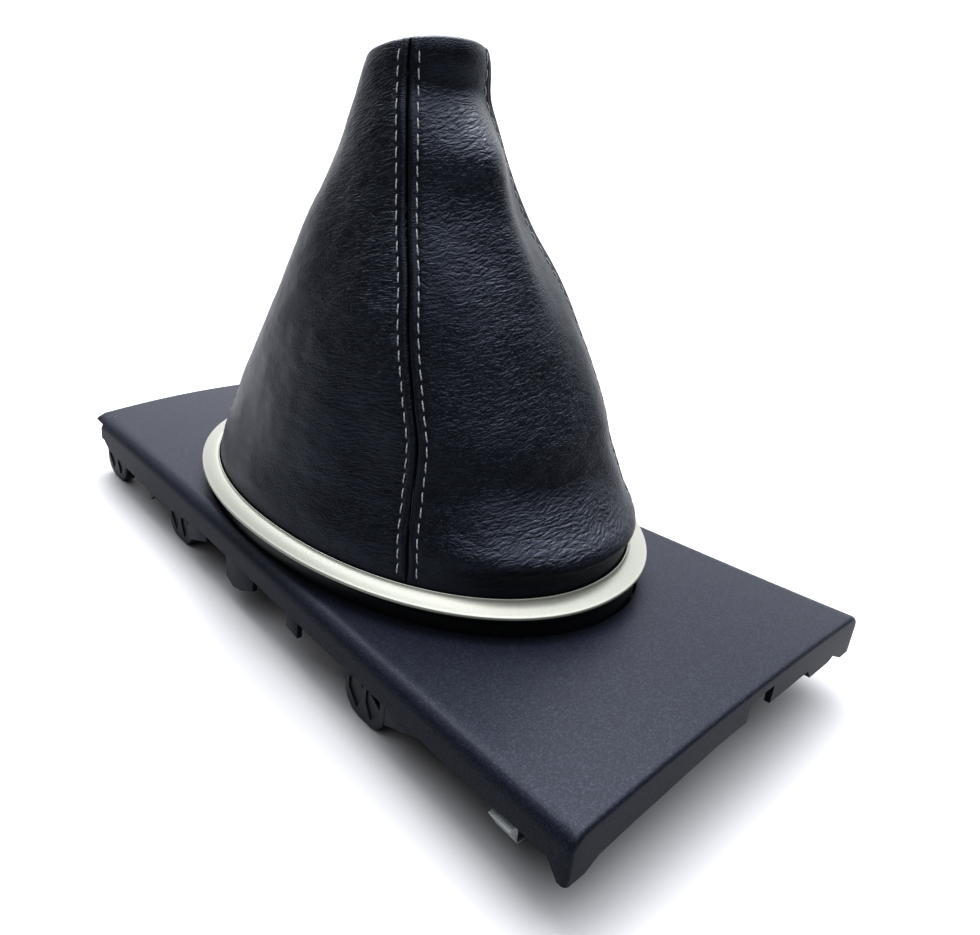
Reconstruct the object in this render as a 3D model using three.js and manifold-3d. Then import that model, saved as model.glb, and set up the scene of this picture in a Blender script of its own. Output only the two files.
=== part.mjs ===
// Gear lever gaiter with its console panel, in millimetres, +Z up.
// X runs along the console towards the wide end, Y across it. The panel's face at the
// middle of its length is the level z = 0 inside the assembly, which stands on its clips.
import * as THREE from 'three';
import { mergeVertices } from 'three/addons/utils/BufferGeometryUtils.js';
import Module from 'manifold-3d';

const wasm = await Module();
wasm.setup();

const { degToRad, lerp, smoothstep } = THREE.MathUtils;

// Console panel
const PANEL_LENGTH = 280;
const PANEL_NEAR_WIDTH = 148.9;
const PANEL_FAR_WIDTH = 104.8;
const PANEL_WALL = 2.2;
const PANEL_CROWN = 2.8;
const PANEL_NEAR_RISE = 1.4;
const PANEL_FAR_DROP = 2.1;
const SIDE_ROLL_WIDTH = 5.6;
const SIDE_ROLL_DROP = 4.7;
const END_RADIUS = 2.6;
const SKIRT_DEPTH = 12.5;
const FAR_SKIRT_DEPTH = 16.5;
const CORNER_FOOT_DEPTH = 15.6;
const NEAR_WALL_DEPTH = 9;
const NEAR_NOTCH_WIDTH = 13.4;
const NEAR_NOTCH_AT = 9.8;
const NEAR_NOTCH_DEPTH = 2.6;
const NEAR_TAB_WIDTH = 16;
const NEAR_TAB_AT = 49;
const NEAR_TAB_DEPTH = 12.8;
const PANEL_RIB_THICKNESS = 1.6;
const PANEL_RIB_DEPTH = 9;
const NEAR_RIB_SETBACK = 24;
const FAR_RIB_SETBACK = 28;

// Opening in the panel, with the lip that hangs round it
const OPENING_LENGTH = 183.6;
const OPENING_WIDTH = 118.8;
const OPENING_AT = 2.3;
const OVAL_POWER = 2.1;
const OVAL_STEPS = 64;
const LIP_WALL = 1.2;
const LIP_DEPTH = 6.5;

// Clips under the long sides
const CLIP_DROP = 29;
const FAR_CLIP_SETBACK = 12;
const MIDDLE_CLIP_SETBACK = 75;
const NEAR_CLIP_SETBACK = 81;
const CLIP_WIDTH = 20;
const CLIP_THICKNESS = 5;
const CLIP_LEAF = 1.2;
const CLIP_TOP = 8.5;
const CLIP_BRIDGE = 5;
const CLIP_FOOT = 5;
const CLIP_INSET = 6;
const BLADE_WIDTH = 15;
const SPRING_CLIP_SETBACK = 20.5;
const SPRING_CLIP_WIDTH = 8;
const SPRING_CLIP_BOTTOM = 21.8;
const SPRING_LEAF = 0.8;
const SPRING_BARB = 2.6;
const TOOTH_WIDTH = 7;
const TOOTH_REACH = 4.4;
const TOOTH_THICKNESS = 1.8;

// Trim ring, its seat slopes across the panel
const RING_OVERHANG_ENDS = 1.9;
const RING_OVERHANG_SIDES = 3.95;
const RING_HEIGHT = 3;
const RING_EDGE = 0.6;
const RING_SEAT = 8;
const SEAT_SLOPE = Math.tan(degToRad(2.7));

// Black carrier under the ring and the clamp that holds the leather hem in it
const CARRIER_WALL_ENDS = 5.4;
const CARRIER_WALL_SIDES = 1.7;
const CARRIER_DEPTH = 9;
const CARRIER_BEAD = 0.5;
const HOOK_WIDTH = 9;
const HOOK_REACH = 1.5;
const HOOK_ANGLE = 22;
const CLAMP_WALL = 2.4;
const CLAMP_HEIGHT = 11;
const CLAMP_FLANGE = 2;
const SCREW_ANGLE = 9;
const SCREW_SHANK = 2.2;
const SCREW_LENGTH = 6;
const SCREW_HEAD = 4.8;
const SCREW_HEAD_HEIGHT = 1.8;
const SCREW_SLOT = 0.8;

// Leather gaiter
const LEATHER = 1.2;
const RIM_HEIGHT = 150.4;
const RIM_RADIUS = 17.8;
const RIM_SLOPE = 0.23;
const RIM_PEAK = 1.8;
const RIM_PEAK_HEIGHT = 40;
const RIM_LEAN_X = -4.1;
const RIM_LEAN_Y = -3.65;
const FOOT_LEAN_X = 0;
const FOOT_LEAN_Y = 1;
const FOOT_FOLLOW = 50;
const RIM_TILT_HEIGHT = 60;
const RIM_ROLL = 3.5;
const RIM_HEM = 10;
const RIM_FOLD_GAP = 0.4;
const BELLY = 3.5;
const BELLY_TURN = 25;
const BELLY_SPREAD = 85;
const BELLY_RISE = 13;
const BELLY_TOP = 48;
const SEAM_TURN = -54;
const SEAM_GAP = 0.4;
const SEAM_DIP = 0.9;
const STITCH_OFFSET = 3.2;
const STITCH_PITCH = 4.1;
const STITCH_LENGTH = 2.6;
const STITCH_START = 2;
const THREAD_WIDTH = 0.9;
const THREAD_HEIGHT = 0.55;

// Clearances
const FIT = 0.3;
const OPENING_FIT = 0.6;
const LEATHER_FIT = 0.35;
const CLAMP_FIT = 0.8;

// Levels and half sizes that follow from the sizes above
const PANEL_HALF = PANEL_LENGTH / 2;
const SIDE_SLOPE = (PANEL_NEAR_WIDTH - PANEL_FAR_WIDTH) / (2 * PANEL_LENGTH);
const BLADE_THICKNESS = CLIP_THICKNESS - 2 * CLIP_LEAF - 2 * FIT;
const CLIP_POSITIONS = [
  FAR_CLIP_SETBACK - PANEL_HALF,
  MIDDLE_CLIP_SETBACK - PANEL_HALF,
  PANEL_HALF - NEAR_CLIP_SETBACK,
];
const SPRING_CLIP_AT = PANEL_HALF - SPRING_CLIP_SETBACK;
const CARRIER = { a: OPENING_LENGTH / 2 - OPENING_FIT, b: OPENING_WIDTH / 2 - OPENING_FIT };
const RING = { a: CARRIER.a + RING_OVERHANG_ENDS, b: CARRIER.b + RING_OVERHANG_SIDES };
const BORE = { a: CARRIER.a - CARRIER_WALL_ENDS, b: CARRIER.b - CARRIER_WALL_SIDES };
const HEM = { a: BORE.a - LEATHER_FIT, b: BORE.b - LEATHER_FIT };
const RING_TOP = RING_SEAT + RING_HEIGHT;
const HEM_DEPTH = CARRIER_DEPTH - FIT;
const FLANGE_TOP = -CARRIER_DEPTH - FIT;
const FLANGE_BOTTOM = FLANGE_TOP - CLAMP_FLANGE;

// Materials
const MATERIALS = {
  paint: { color: 0x454a58, roughness: 0.38, metalness: 0.35 },
  clip: { color: 0x2b2e33, roughness: 0.6, metalness: 0 },
  zinc: { color: 0x9a9c9c, roughness: 0.45, metalness: 0.8 },
  black: { color: 0x15171a, roughness: 0.45, metalness: 0 },
  satin: { color: 0xd2d2ca, roughness: 0.35, metalness: 0.6 },
  leather: { color: 0x1d2027, roughness: 0.55, metalness: 0 },
  thread: { color: 0xb9babb, roughness: 0.8, metalness: 0 },
};

const assembly = new THREE.Group();

function addPiece(name, geometry, material, parent = assembly) {
  const mesh = new THREE.Mesh(geometry, new THREE.MeshStandardMaterial(MATERIALS[material]));
  mesh.name = name;
  parent.add(mesh);
  return mesh;
}

// Closed skin through rings of points. A ring is an array of Vector3. The skin runs round
// in a loop, or ends with a cap on its first and last ring, whose triangles capOf gives.
function skin(rings, capOf = null) {
  const count = rings[0].length;
  const index = [];
  const last = capOf ? rings.length - 1 : rings.length;
  for (let i = 0; i < last; i++) {
    const here = i * count;
    const next = ((i + 1) % rings.length) * count;
    for (let j = 0; j < count; j++) {
      const k = (j + 1) % count;
      index.push(here + j, next + j, next + k, here + j, next + k, here + k);
    }
  }
  if (capOf) {
    const end = (rings.length - 1) * count;
    for (const [a, b, c] of capOf(rings[0])) index.push(a, b, c);
    for (const [a, b, c] of capOf(rings[rings.length - 1])) index.push(end + c, end + b, end + a);
  }
  const geometry = new THREE.BufferGeometry().setFromPoints(rings.flat());
  geometry.setIndex(index);
  return facingOut(geometry);
}

// Triangles of a long thin outline, whose first half runs out and second half runs back.
function ladderCap(ring) {
  const triangles = [];
  const last = ring.length - 1;
  for (let i = 0; i < ring.length / 2 - 1; i++) {
    triangles.push([i, i + 1, last - i], [i + 1, last - i - 1, last - i]);
  }
  return triangles;
}

// Triangles of a nearly flat outline, seen along its own normal.
function flatCap(ring) {
  const normal = new THREE.Vector3();
  const centre = ring.reduce((sum, p) => sum.add(p), new THREE.Vector3()).divideScalar(ring.length);
  ring.forEach((p, i) => {
    const q = ring[(i + 1) % ring.length];
    normal.add(p.clone().sub(centre).cross(q.clone().sub(centre)));
  });
  normal.normalize();
  const side = ring[1].clone().sub(ring[0]).projectOnPlane(normal).normalize();
  const up = normal.clone().cross(side);
  const flat = ring.map((p) => new THREE.Vector2(p.dot(side), p.dot(up)));
  return THREE.ShapeUtils.triangulateShape(flat, []);
}

function signedVolume(geometry) {
  const p = geometry.attributes.position;
  const at = (i) => new THREE.Vector3().fromBufferAttribute(p, geometry.index.getX(i));
  let six = 0;
  for (let i = 0; i < geometry.index.count; i += 3) {
    six += at(i).dot(at(i + 1).cross(at(i + 2)));
  }
  return six / 6;
}

function facingOut(geometry) {
  if (signedVolume(geometry) < 0) {
    const index = geometry.index.array;
    for (let i = 0; i < index.length; i += 3) {
      [index[i], index[i + 2]] = [index[i + 2], index[i]];
    }
  }
  return geometry;
}

function toSolid(geometry) {
  const bare = geometry.clone();
  bare.deleteAttribute('normal');
  bare.deleteAttribute('uv');
  const merged = mergeVertices(bare, 1e-4);
  return new wasm.Manifold(new wasm.Mesh({
    numProp: 3,
    vertProperties: new Float32Array(merged.attributes.position.array),
    triVerts: new Uint32Array(merged.index.array),
  }));
}

function toGeometry(solid) {
  const mesh = solid.getMesh();
  const geometry = new THREE.BufferGeometry();
  geometry.setAttribute('position', new THREE.BufferAttribute(mesh.vertProperties, 3));
  geometry.setIndex(new THREE.BufferAttribute(mesh.triVerts, 1));
  return geometry;
}

// Plate cut to an outline of [first, second] points, centred on its thickness.
// Along 'y' the outline is in X and Z, along 'x' in Y and Z, along 'z' in X and Y.
function plate(outline, thickness, along) {
  const shape = new THREE.Shape(outline.map(([p, q]) => new THREE.Vector2(p, q)));
  const geometry = new THREE.ExtrudeGeometry(shape, { depth: thickness, bevelEnabled: false });
  geometry.translate(0, 0, -thickness / 2);
  const turn = new THREE.Matrix4();
  const [X, Y, Z] = [new THREE.Vector3(1, 0, 0), new THREE.Vector3(0, 1, 0), new THREE.Vector3(0, 0, 1)];
  if (along === 'y') turn.makeBasis(X, Z, Y.negate());
  if (along === 'x') turn.makeBasis(Y, Z, X);
  return geometry.applyMatrix4(turn);
}

// Point on an oval of half length a and half width b about the opening's centre.
function oval(turn, a, b) {
  const bend = (v) => Math.sign(v) * Math.abs(v) ** (2 / OVAL_POWER);
  return new THREE.Vector2(OPENING_AT + a * bend(Math.cos(turn)), b * bend(Math.sin(turn)));
}

// Band swept round the oval. Each corner of its section is [a, b, z]. Corners above the
// panel follow the slope of the ring's seat, those below it are level.
function ovalBand(corners) {
  const rings = [];
  for (let i = 0; i < OVAL_STEPS; i++) {
    const turn = (i / OVAL_STEPS) * 2 * Math.PI;
    rings.push(corners.map(([a, b, z]) => {
      const p = oval(turn, a, b);
      return new THREE.Vector3(p.x, p.y, z > 0 ? z + SEAT_SLOPE * p.y : z);
    }));
  }
  return skin(rings);
}

// Console panel

function halfWidth(x) {
  return (PANEL_NEAR_WIDTH + PANEL_FAR_WIDTH) / 4 + SIDE_SLOPE * x;
}

// Height of the panel's face inside its rolled sides.
function faceHeight(x, y) {
  const run = Math.min(Math.abs(x) / PANEL_HALF, 1) ** 3;
  const rise = x > 0 ? PANEL_NEAR_RISE * run : -PANEL_FAR_DROP * run;
  return rise - PANEL_CROWN * (y / halfWidth(x)) ** 2;
}

// Outline of the panel across the console at x: down the rolled sides to the bottom.
function panelOutline(x, inset, bottom, place = x) {
  const flat = halfWidth(x) - SIDE_ROLL_WIDTH;
  const rollSteps = 5;
  const faceSteps = 8;
  const half = [];
  for (let i = 0; i <= rollSteps; i++) {
    const turn = ((rollSteps - i) / rollSteps) * (Math.PI / 2);
    const y = flat + (SIDE_ROLL_WIDTH - inset) * Math.sin(turn);
    const drop = inset + (SIDE_ROLL_DROP - inset) * (1 - Math.cos(turn));
    half.push([y, faceHeight(x, flat) - drop]);
  }
  const outline = [[half[0][0], bottom], ...half];
  for (let i = 1; i < faceSteps; i++) {
    const y = lerp(flat, -flat, i / faceSteps);
    outline.push([y, faceHeight(x, y) - inset]);
  }
  for (const [y, z] of half.reverse()) outline.push([-y, z]);
  const bottomY = outline[outline.length - 1][0];
  outline.push([bottomY, bottom]);
  return outline.map(([y, z]) => new THREE.Vector3(place, y, z));
}

function panelBlock(inset, bottom) {
  const spans = 12;
  const endSteps = 3;
  const reach = Math.max(END_RADIUS - inset, 0);
  const stations = [];
  for (let i = 0; i <= spans; i++) {
    const x = lerp(-PANEL_HALF, PANEL_HALF, i / spans);
    stations.push(panelOutline(x, inset, bottom));
  }
  for (let i = 1; i <= endSteps && reach > 0; i++) {
    const turn = (i / endSteps) * (Math.PI / 2);
    const more = inset + reach * (1 - Math.cos(turn));
    const out = PANEL_HALF + reach * Math.sin(turn);
    stations.push(panelOutline(PANEL_HALF, more, bottom, out));
    stations.unshift(panelOutline(-PANEL_HALF, more, bottom, -out));
  }
  return toSolid(skin(stations, flatCap));
}

// What is trimmed off under the long sides, as an outline in X and Z.
function sideTrim() {
  const low = -40;
  const end = PANEL_HALF + END_RADIUS;
  const farStep = CLIP_POSITIONS[1] - CLIP_WIDTH / 2;
  const footStart = PANEL_HALF - 4;
  const outline = [
    [-end - 5, low],
    [-end - 5, -SKIRT_DEPTH],
    [-PANEL_HALF + 8, -SKIRT_DEPTH],
    [-PANEL_HALF + 14, -FAR_SKIRT_DEPTH + 1],
    [farStep, -FAR_SKIRT_DEPTH],
    [farStep + 34, -SKIRT_DEPTH],
    [SPRING_CLIP_AT - 2 * SPRING_CLIP_WIDTH, -SKIRT_DEPTH],
    [SPRING_CLIP_AT + SPRING_CLIP_WIDTH, -SKIRT_DEPTH + 1.2],
    [footStart, -SKIRT_DEPTH + 1.2],
    [PANEL_HALF, -CORNER_FOOT_DEPTH],
    [PANEL_HALF, low],
  ];
  return toSolid(plate(outline, PANEL_NEAR_WIDTH + 20, 'y'));
}

// What is trimmed off under the near end wall, as an outline in Y and Z.
function nearTrim() {
  const low = -40;
  const corner = PANEL_NEAR_WIDTH / 2;
  const notch = NEAR_NOTCH_WIDTH / 2;
  const tab = NEAR_TAB_WIDTH / 2;
  const outline = [
    [-corner - 5, low],
    [-corner - 5, -CORNER_FOOT_DEPTH],
    [-corner + 7, -CORNER_FOOT_DEPTH],
    [-corner + 12, -CORNER_FOOT_DEPTH + 2.6],
    [-corner + 26, -NEAR_WALL_DEPTH - 2.6],
    [-corner + 62, -NEAR_WALL_DEPTH],
    [NEAR_NOTCH_AT - notch, -NEAR_WALL_DEPTH],
    [NEAR_NOTCH_AT - notch, -NEAR_NOTCH_DEPTH],
    [NEAR_NOTCH_AT + notch, -NEAR_NOTCH_DEPTH],
    [NEAR_NOTCH_AT + notch, -NEAR_WALL_DEPTH],
    [NEAR_TAB_AT - tab, -NEAR_WALL_DEPTH],
    [NEAR_TAB_AT - tab + 3, -NEAR_TAB_DEPTH],
    [NEAR_TAB_AT + tab, -NEAR_TAB_DEPTH],
    [NEAR_TAB_AT + tab + 3, -NEAR_WALL_DEPTH - 2.6],
    [corner - 7, -CORNER_FOOT_DEPTH],
    [corner + 5, -CORNER_FOOT_DEPTH],
    [corner + 5, low],
  ];
  const depth = SPRING_CLIP_SETBACK;
  const trim = plate(outline, 2 * depth, 'x').translate(PANEL_HALF + depth, 0, 0);
  return toSolid(trim);
}

// Where a piece under a long side sits: side is 1 or -1, inset runs inwards.
function atSide(geometry, side, x, inset) {
  geometry.rotateZ(side * Math.atan(SIDE_SLOPE));
  return geometry.translate(x, side * (halfWidth(x) - inset), 0);
}

// Upright rib from inside the panel's wall down to the given depth.
function sideRib(side, x, width, thickness, inset, depth) {
  const top = faceHeight(x, halfWidth(x) - inset) - PANEL_WALL / 2;
  const rib = new THREE.BoxGeometry(width, thickness, depth + top);
  rib.translate(0, 0, (top - depth) / 2);
  return toSolid(atSide(rib, side, x, inset));
}

// Moulded teeth and wedges that hang from the skirt, in the plane of the skirt.
function skirtTooth(side, x, outline) {
  const tooth = plate(outline, TOOTH_THICKNESS, 'y');
  return toSolid(atSide(tooth, side, x, PANEL_WALL / 2));
}

function skirtTeeth(side) {
  const tip = SKIRT_DEPTH + TOOTH_REACH;
  const top = -SKIRT_DEPTH + 2;
  const barb = [[0, top], [TOOTH_WIDTH, top], [0, -tip]];
  const peg = [[-9, top], [-9, -tip - 3.5], [-4, -tip - 5.5], [2, -tip - 4], [10, -tip], [10, top]];
  const block = [[-3.5, top], [-3.5, -tip - 0.5], [3.5, -tip - 1.5], [3.5, top]];
  const clipHalf = CLIP_WIDTH / 2;
  const gusset = [[0, top], [0, -tip - 4], [15, -tip + 2], [15, top]];
  const teeth = [
    skirtTooth(side, CLIP_POSITIONS[2] - clipHalf + 3, barb),
    skirtTooth(side, CLIP_POSITIONS[1] - clipHalf - 10, barb.map(([x, z]) => [x, z - 3])),
    skirtTooth(side, -12, peg),
    skirtTooth(side, 23, block),
    skirtTooth(side, CLIP_POSITIONS[1] + clipHalf + 4, gusset),
    skirtTooth(side, CLIP_POSITIONS[2] + clipHalf + 4, gusset.map(([x, z]) => [x, z + 2])),
  ];
  return teeth;
}

function crossRib(x) {
  const low = -PANEL_RIB_DEPTH;
  const half = halfWidth(x) - PANEL_WALL / 2;
  const top = faceHeight(x, half - SIDE_ROLL_WIDTH) - PANEL_WALL / 2;
  const rib = new THREE.BoxGeometry(PANEL_RIB_THICKNESS, 2 * half, top - low);
  return toSolid(rib.translate(x, 0, (top + low) / 2));
}

function openingOutline(grow) {
  const outline = [];
  for (let i = 0; i < OVAL_STEPS; i++) {
    const turn = (i / OVAL_STEPS) * 2 * Math.PI;
    const p = oval(turn, OPENING_LENGTH / 2 + grow, OPENING_WIDTH / 2 + grow);
    outline.push([p.x, p.y]);
  }
  return outline;
}

function consolePanel() {
  const outer = panelBlock(0, -FAR_SKIRT_DEPTH - 2);
  const inner = panelBlock(PANEL_WALL, -FAR_SKIRT_DEPTH - 5);
  let panel = outer.subtract(inner).subtract(sideTrim()).subtract(nearTrim());
  const lip = plate(openingOutline(LIP_WALL), LIP_DEPTH - PANEL_WALL, 'z');
  panel = panel.add(toSolid(lip.translate(0, 0, -(LIP_DEPTH + PANEL_WALL) / 2)));
  panel = panel.add(crossRib(PANEL_HALF - NEAR_RIB_SETBACK)).add(crossRib(FAR_RIB_SETBACK - PANEL_HALF));
  const bladeBottom = CLIP_DROP - CLIP_BRIDGE - FIT;
  for (const side of [1, -1]) {
    for (const x of CLIP_POSITIONS) {
      panel = panel.add(sideRib(side, x, BLADE_WIDTH, BLADE_THICKNESS, CLIP_INSET, bladeBottom));
    }
    const springBlade = SPRING_CLIP_BOTTOM - SPRING_LEAF - FIT;
    panel = panel.add(
      sideRib(side, SPRING_CLIP_AT, SPRING_CLIP_WIDTH, BLADE_THICKNESS, CLIP_INSET, springBlade),
    );
    for (const tooth of skirtTeeth(side)) panel = panel.add(tooth);
  }
  const cut = plate(openingOutline(0), 2 * CLIP_DROP, 'z');
  return toGeometry(panel.subtract(toSolid(cut)));
}

// Clips

function clipOutline() {
  const half = CLIP_WIDTH / 2;
  const outline = [[half, -CLIP_TOP], [-half, -CLIP_TOP]];
  const footHalf = CLIP_FOOT / 2;
  const steps = 4;
  const corner = half - footHalf;
  for (let i = 0; i <= steps; i++) {
    const turn = Math.PI + (i / steps) * (Math.PI / 2);
    outline.push([-footHalf + corner * Math.cos(turn), -CLIP_DROP + corner + corner * Math.sin(turn)]);
  }
  for (let i = 0; i <= steps; i++) {
    const turn = 1.5 * Math.PI + (i / steps) * (Math.PI / 2);
    outline.push([footHalf + corner * Math.cos(turn), -CLIP_DROP + corner + corner * Math.sin(turn)]);
  }
  return outline;
}

function panelClip() {
  const slotDepth = CLIP_DROP - CLIP_BRIDGE - CLIP_TOP;
  const slot = new THREE.BoxGeometry(CLIP_WIDTH + 2, BLADE_THICKNESS + 2 * FIT, 2 * slotDepth);
  slot.translate(0, 0, -CLIP_TOP);
  const windowA = [[-6.5, -14], [-1.5, -14.5], [-1.5, -19]];
  const windowB = [[1.5, -17.5], [7, -15.5], [7, -21]];
  let clip = toSolid(plate(clipOutline(), CLIP_THICKNESS, 'y')).subtract(toSolid(slot));
  for (const outline of [windowA, windowB]) {
    clip = clip.subtract(toSolid(plate(outline, CLIP_THICKNESS + 2, 'y')));
  }
  return toGeometry(clip);
}

// Folded steel clip: a U over its blade, with a barb pressed out of each leaf.
function springClip() {
  const inner = BLADE_THICKNESS / 2 + FIT;
  const outer = inner + SPRING_LEAF;
  const low = -SPRING_CLIP_BOTTOM;
  const top = low + 10;
  const barbLow = low + 1.5;
  const barbTop = low + 6.5;
  const section = [
    [-inner, top], [-outer, top], [-outer, barbTop], [-outer - SPRING_BARB, barbTop - 0.8],
    [-outer, barbLow], [-outer, low], [outer, low], [outer, barbLow],
    [outer + SPRING_BARB, barbTop - 0.8], [outer, barbTop], [outer, top], [inner, top],
    [inner, low + SPRING_LEAF], [-inner, low + SPRING_LEAF],
  ];
  return plate(section, SPRING_CLIP_WIDTH, 'x');
}

// Trim ring, carrier and clamp

function between(outer, inner, share) {
  return [lerp(outer.a, inner.a, share), lerp(outer.b, inner.b, share)];
}

function trimRing() {
  const section = [
    [...between(RING, BORE, 0), RING_SEAT],
    [...between(RING, BORE, 0), RING_SEAT + RING_EDGE],
    [...between(RING, BORE, 0.1), RING_SEAT + 1.6 * RING_EDGE],
    [...between(RING, BORE, 0.5), RING_SEAT + 0.72 * RING_HEIGHT],
    [...between(RING, BORE, 0.9), RING_TOP],
    [...between(RING, BORE, 1), RING_TOP - 0.6 * RING_EDGE],
    [...between(RING, BORE, 1), RING_SEAT],
  ];
  return ovalBand(section);
}

function gaiterCarrier() {
  const top = RING_SEAT - FIT;
  const bore = { a: BORE.a + FIT / 2, b: BORE.b + FIT / 2 };
  const bead = { a: CARRIER.a + CARRIER_BEAD, b: CARRIER.b + CARRIER_BEAD };
  const beadLow = RING_SEAT - 3;
  const section = [
    [CARRIER.a, CARRIER.b, -CARRIER_DEPTH],
    [CARRIER.a, CARRIER.b, beadLow],
    [bead.a, bead.b, beadLow + CARRIER_BEAD],
    [bead.a, bead.b, top],
    [bore.a, bore.b, top],
    [bore.a, bore.b, -CARRIER_DEPTH],
  ];
  let carrier = toSolid(ovalBand(section));
  for (const turn of endTurns(HOOK_ANGLE)) carrier = carrier.add(carrierHook(turn));
  for (const turn of endTurns(SCREW_ANGLE)) carrier = carrier.subtract(screwHole(turn, SCREW_SHANK));
  return toGeometry(carrier);
}

// The same angle either side of both ends of the oval.
function endTurns(angle) {
  return [angle, 180 - angle, 180 + angle, -angle].map(degToRad);
}

// Snap hook under the lip of the panel's opening.
function carrierHook(turn) {
  const top = -LIP_DEPTH - FIT;
  const reach = OPENING_FIT + HOOK_REACH;
  const profile = [
    [-HOOK_REACH, top], [reach, top], [reach, top - FIT], [0, -CARRIER_DEPTH],
    [-HOOK_REACH, -CARRIER_DEPTH],
  ];
  const hook = plate(profile, HOOK_WIDTH, 'y');
  const foot = oval(turn, CARRIER.a, CARRIER.b);
  const ahead = oval(turn + 0.01, CARRIER.a, CARRIER.b);
  const heading = Math.atan2(ahead.y - foot.y, ahead.x - foot.x) - Math.PI / 2;
  return toSolid(hook.rotateZ(heading).translate(foot.x, foot.y, 0));
}

function screwPlace(turn) {
  const p = oval(turn, (CARRIER.a + BORE.a) / 2, (CARRIER.b + BORE.b) / 2);
  return new THREE.Vector3(p.x, p.y, 0);
}

function screwHole(turn, diameter) {
  const hole = new THREE.CylinderGeometry(diameter / 2 + FIT, diameter / 2 + FIT, 2 * SCREW_LENGTH, 12);
  const p = screwPlace(turn);
  return toSolid(hole.rotateX(Math.PI / 2).translate(p.x, p.y, FLANGE_TOP));
}

function hemClamp() {
  const outer = { a: HEM.a - LEATHER - CLAMP_FIT, b: HEM.b - LEATHER - CLAMP_FIT };
  const inner = { a: outer.a - CLAMP_WALL, b: outer.b - CLAMP_WALL };
  const top = FLANGE_TOP + CLAMP_HEIGHT;
  const flangeA = CARRIER.a - 0.5;
  const flangeB = CARRIER.b - 0.5;
  const section = [
    [outer.a, outer.b, top],
    [outer.a, outer.b, FLANGE_TOP],
    [flangeA, flangeB, FLANGE_TOP],
    [flangeA, flangeB, FLANGE_BOTTOM],
    [inner.a, inner.b, FLANGE_BOTTOM],
    [inner.a, inner.b, top],
  ];
  let clamp = toSolid(ovalBand(section));
  for (const turn of endTurns(SCREW_ANGLE)) clamp = clamp.subtract(screwHole(turn, SCREW_SHANK));
  return toGeometry(clamp);
}

function clampScrew() {
  const shank = SCREW_SHANK / 2;
  const head = SCREW_HEAD / 2;
  const tip = SCREW_LENGTH - FIT;
  const profile = [
    [0, -SCREW_HEAD_HEIGHT], [0.7 * head, -SCREW_HEAD_HEIGHT], [head, -0.5 * SCREW_HEAD_HEIGHT],
    [head, 0], [shank, 0], [shank, tip - shank], [0, tip],
  ].map(([r, z]) => new THREE.Vector2(r, z));
  const screw = new THREE.LatheGeometry(profile, 12).rotateX(Math.PI / 2);
  let solid = toSolid(facingOut(mergeVertices(stripped(screw), 1e-4)));
  for (const turn of [0, Math.PI / 2]) {
    const slot = new THREE.BoxGeometry(SCREW_HEAD * 0.6, SCREW_SLOT, SCREW_HEAD_HEIGHT);
    slot.rotateZ(turn).translate(0, 0, -SCREW_HEAD_HEIGHT);
    solid = solid.subtract(toSolid(slot));
  }
  return toGeometry(solid);
}

function stripped(geometry) {
  geometry.deleteAttribute('normal');
  geometry.deleteAttribute('uv');
  return geometry;
}

// Leather gaiter

// Share of the way from the hem up to the rim, with the shares of the length, width and
// lean that are left there of those at the hem.
const TAPER = [
  [0.134, 0.885, 0.877, 0.78],
  [0.276, 0.751, 0.809, 1],
  [0.417, 0.579, 0.701, 0.95],
  [0.558, 0.429, 0.542, 0.68],
  [0.7, 0.259, 0.315, 0.1],
  [0.841, 0.101, 0.143, -0.1],
];

// Sections of the gaiter: height, half length, half width, and how far the middle leans.
const SECTIONS = [
  { h: -HEM_DEPTH, a: HEM.a, b: HEM.b, x: 0, y: 0 },
  { h: RING_TOP, a: HEM.a, b: HEM.b, x: 0, y: 0 },
  ...TAPER.map(([rise, length, width, lean]) => ({
    h: lerp(RING_TOP, RIM_HEIGHT, rise),
    a: lerp(RIM_RADIUS, HEM.a, length),
    b: lerp(RIM_RADIUS, HEM.b, width),
    x: lerp(RIM_LEAN_X, FOOT_LEAN_X, lean),
    y: lerp(RIM_LEAN_Y, FOOT_LEAN_Y, lean),
  })),
  { h: RIM_HEIGHT, a: RIM_RADIUS, b: RIM_RADIUS, x: RIM_LEAN_X, y: RIM_LEAN_Y },
];

// Smooth curve through the sections, flat where the hem stands in the ring.
function sectionAt(h) {
  const last = SECTIONS.length - 1;
  const i = THREE.MathUtils.clamp(SECTIONS.findIndex((s) => s.h > h) - 1, 0, last - 1);
  const k = h >= SECTIONS[last].h ? last - 1 : i;
  const [p, q] = [SECTIONS[k], SECTIONS[k + 1]];
  const span = q.h - p.h;
  const t = (h - p.h) / span;
  const tangent = (j, key) => {
    if (j <= 1) return 0;
    const before = SECTIONS[j - 1];
    const after = SECTIONS[Math.min(j + 1, last)];
    return (after[key] - before[key]) / (after.h - before.h);
  };
  const value = (key) => {
    const [m0, m1] = [tangent(k, key) * span, tangent(k + 1, key) * span];
    const [t2, t3] = [t * t, t * t * t];
    return (2 * t3 - 3 * t2 + 1) * p[key] + (t3 - 2 * t2 + t) * m0
      + (3 * t2 - 2 * t3) * q[key] + (t3 - t2) * m1;
  };
  return { a: value('a'), b: value('b'), x: value('x'), y: value('y') };
}

// The gaiter bellies out over the ring on its far right corner.
function belly(turn, h) {
  const off = turn - degToRad(BELLY_TURN);
  const away = Math.abs(Math.atan2(Math.sin(off), Math.cos(off)));
  const round = Math.cos(Math.min(away / degToRad(BELLY_SPREAD), 1) * (Math.PI / 2));
  const rise = smoothstep(h, RING_TOP, RING_TOP + BELLY_RISE);
  const fall = 1 - smoothstep(h, RING_TOP + 1.3 * BELLY_RISE, BELLY_TOP);
  return BELLY * round * rise * fall;
}

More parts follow.
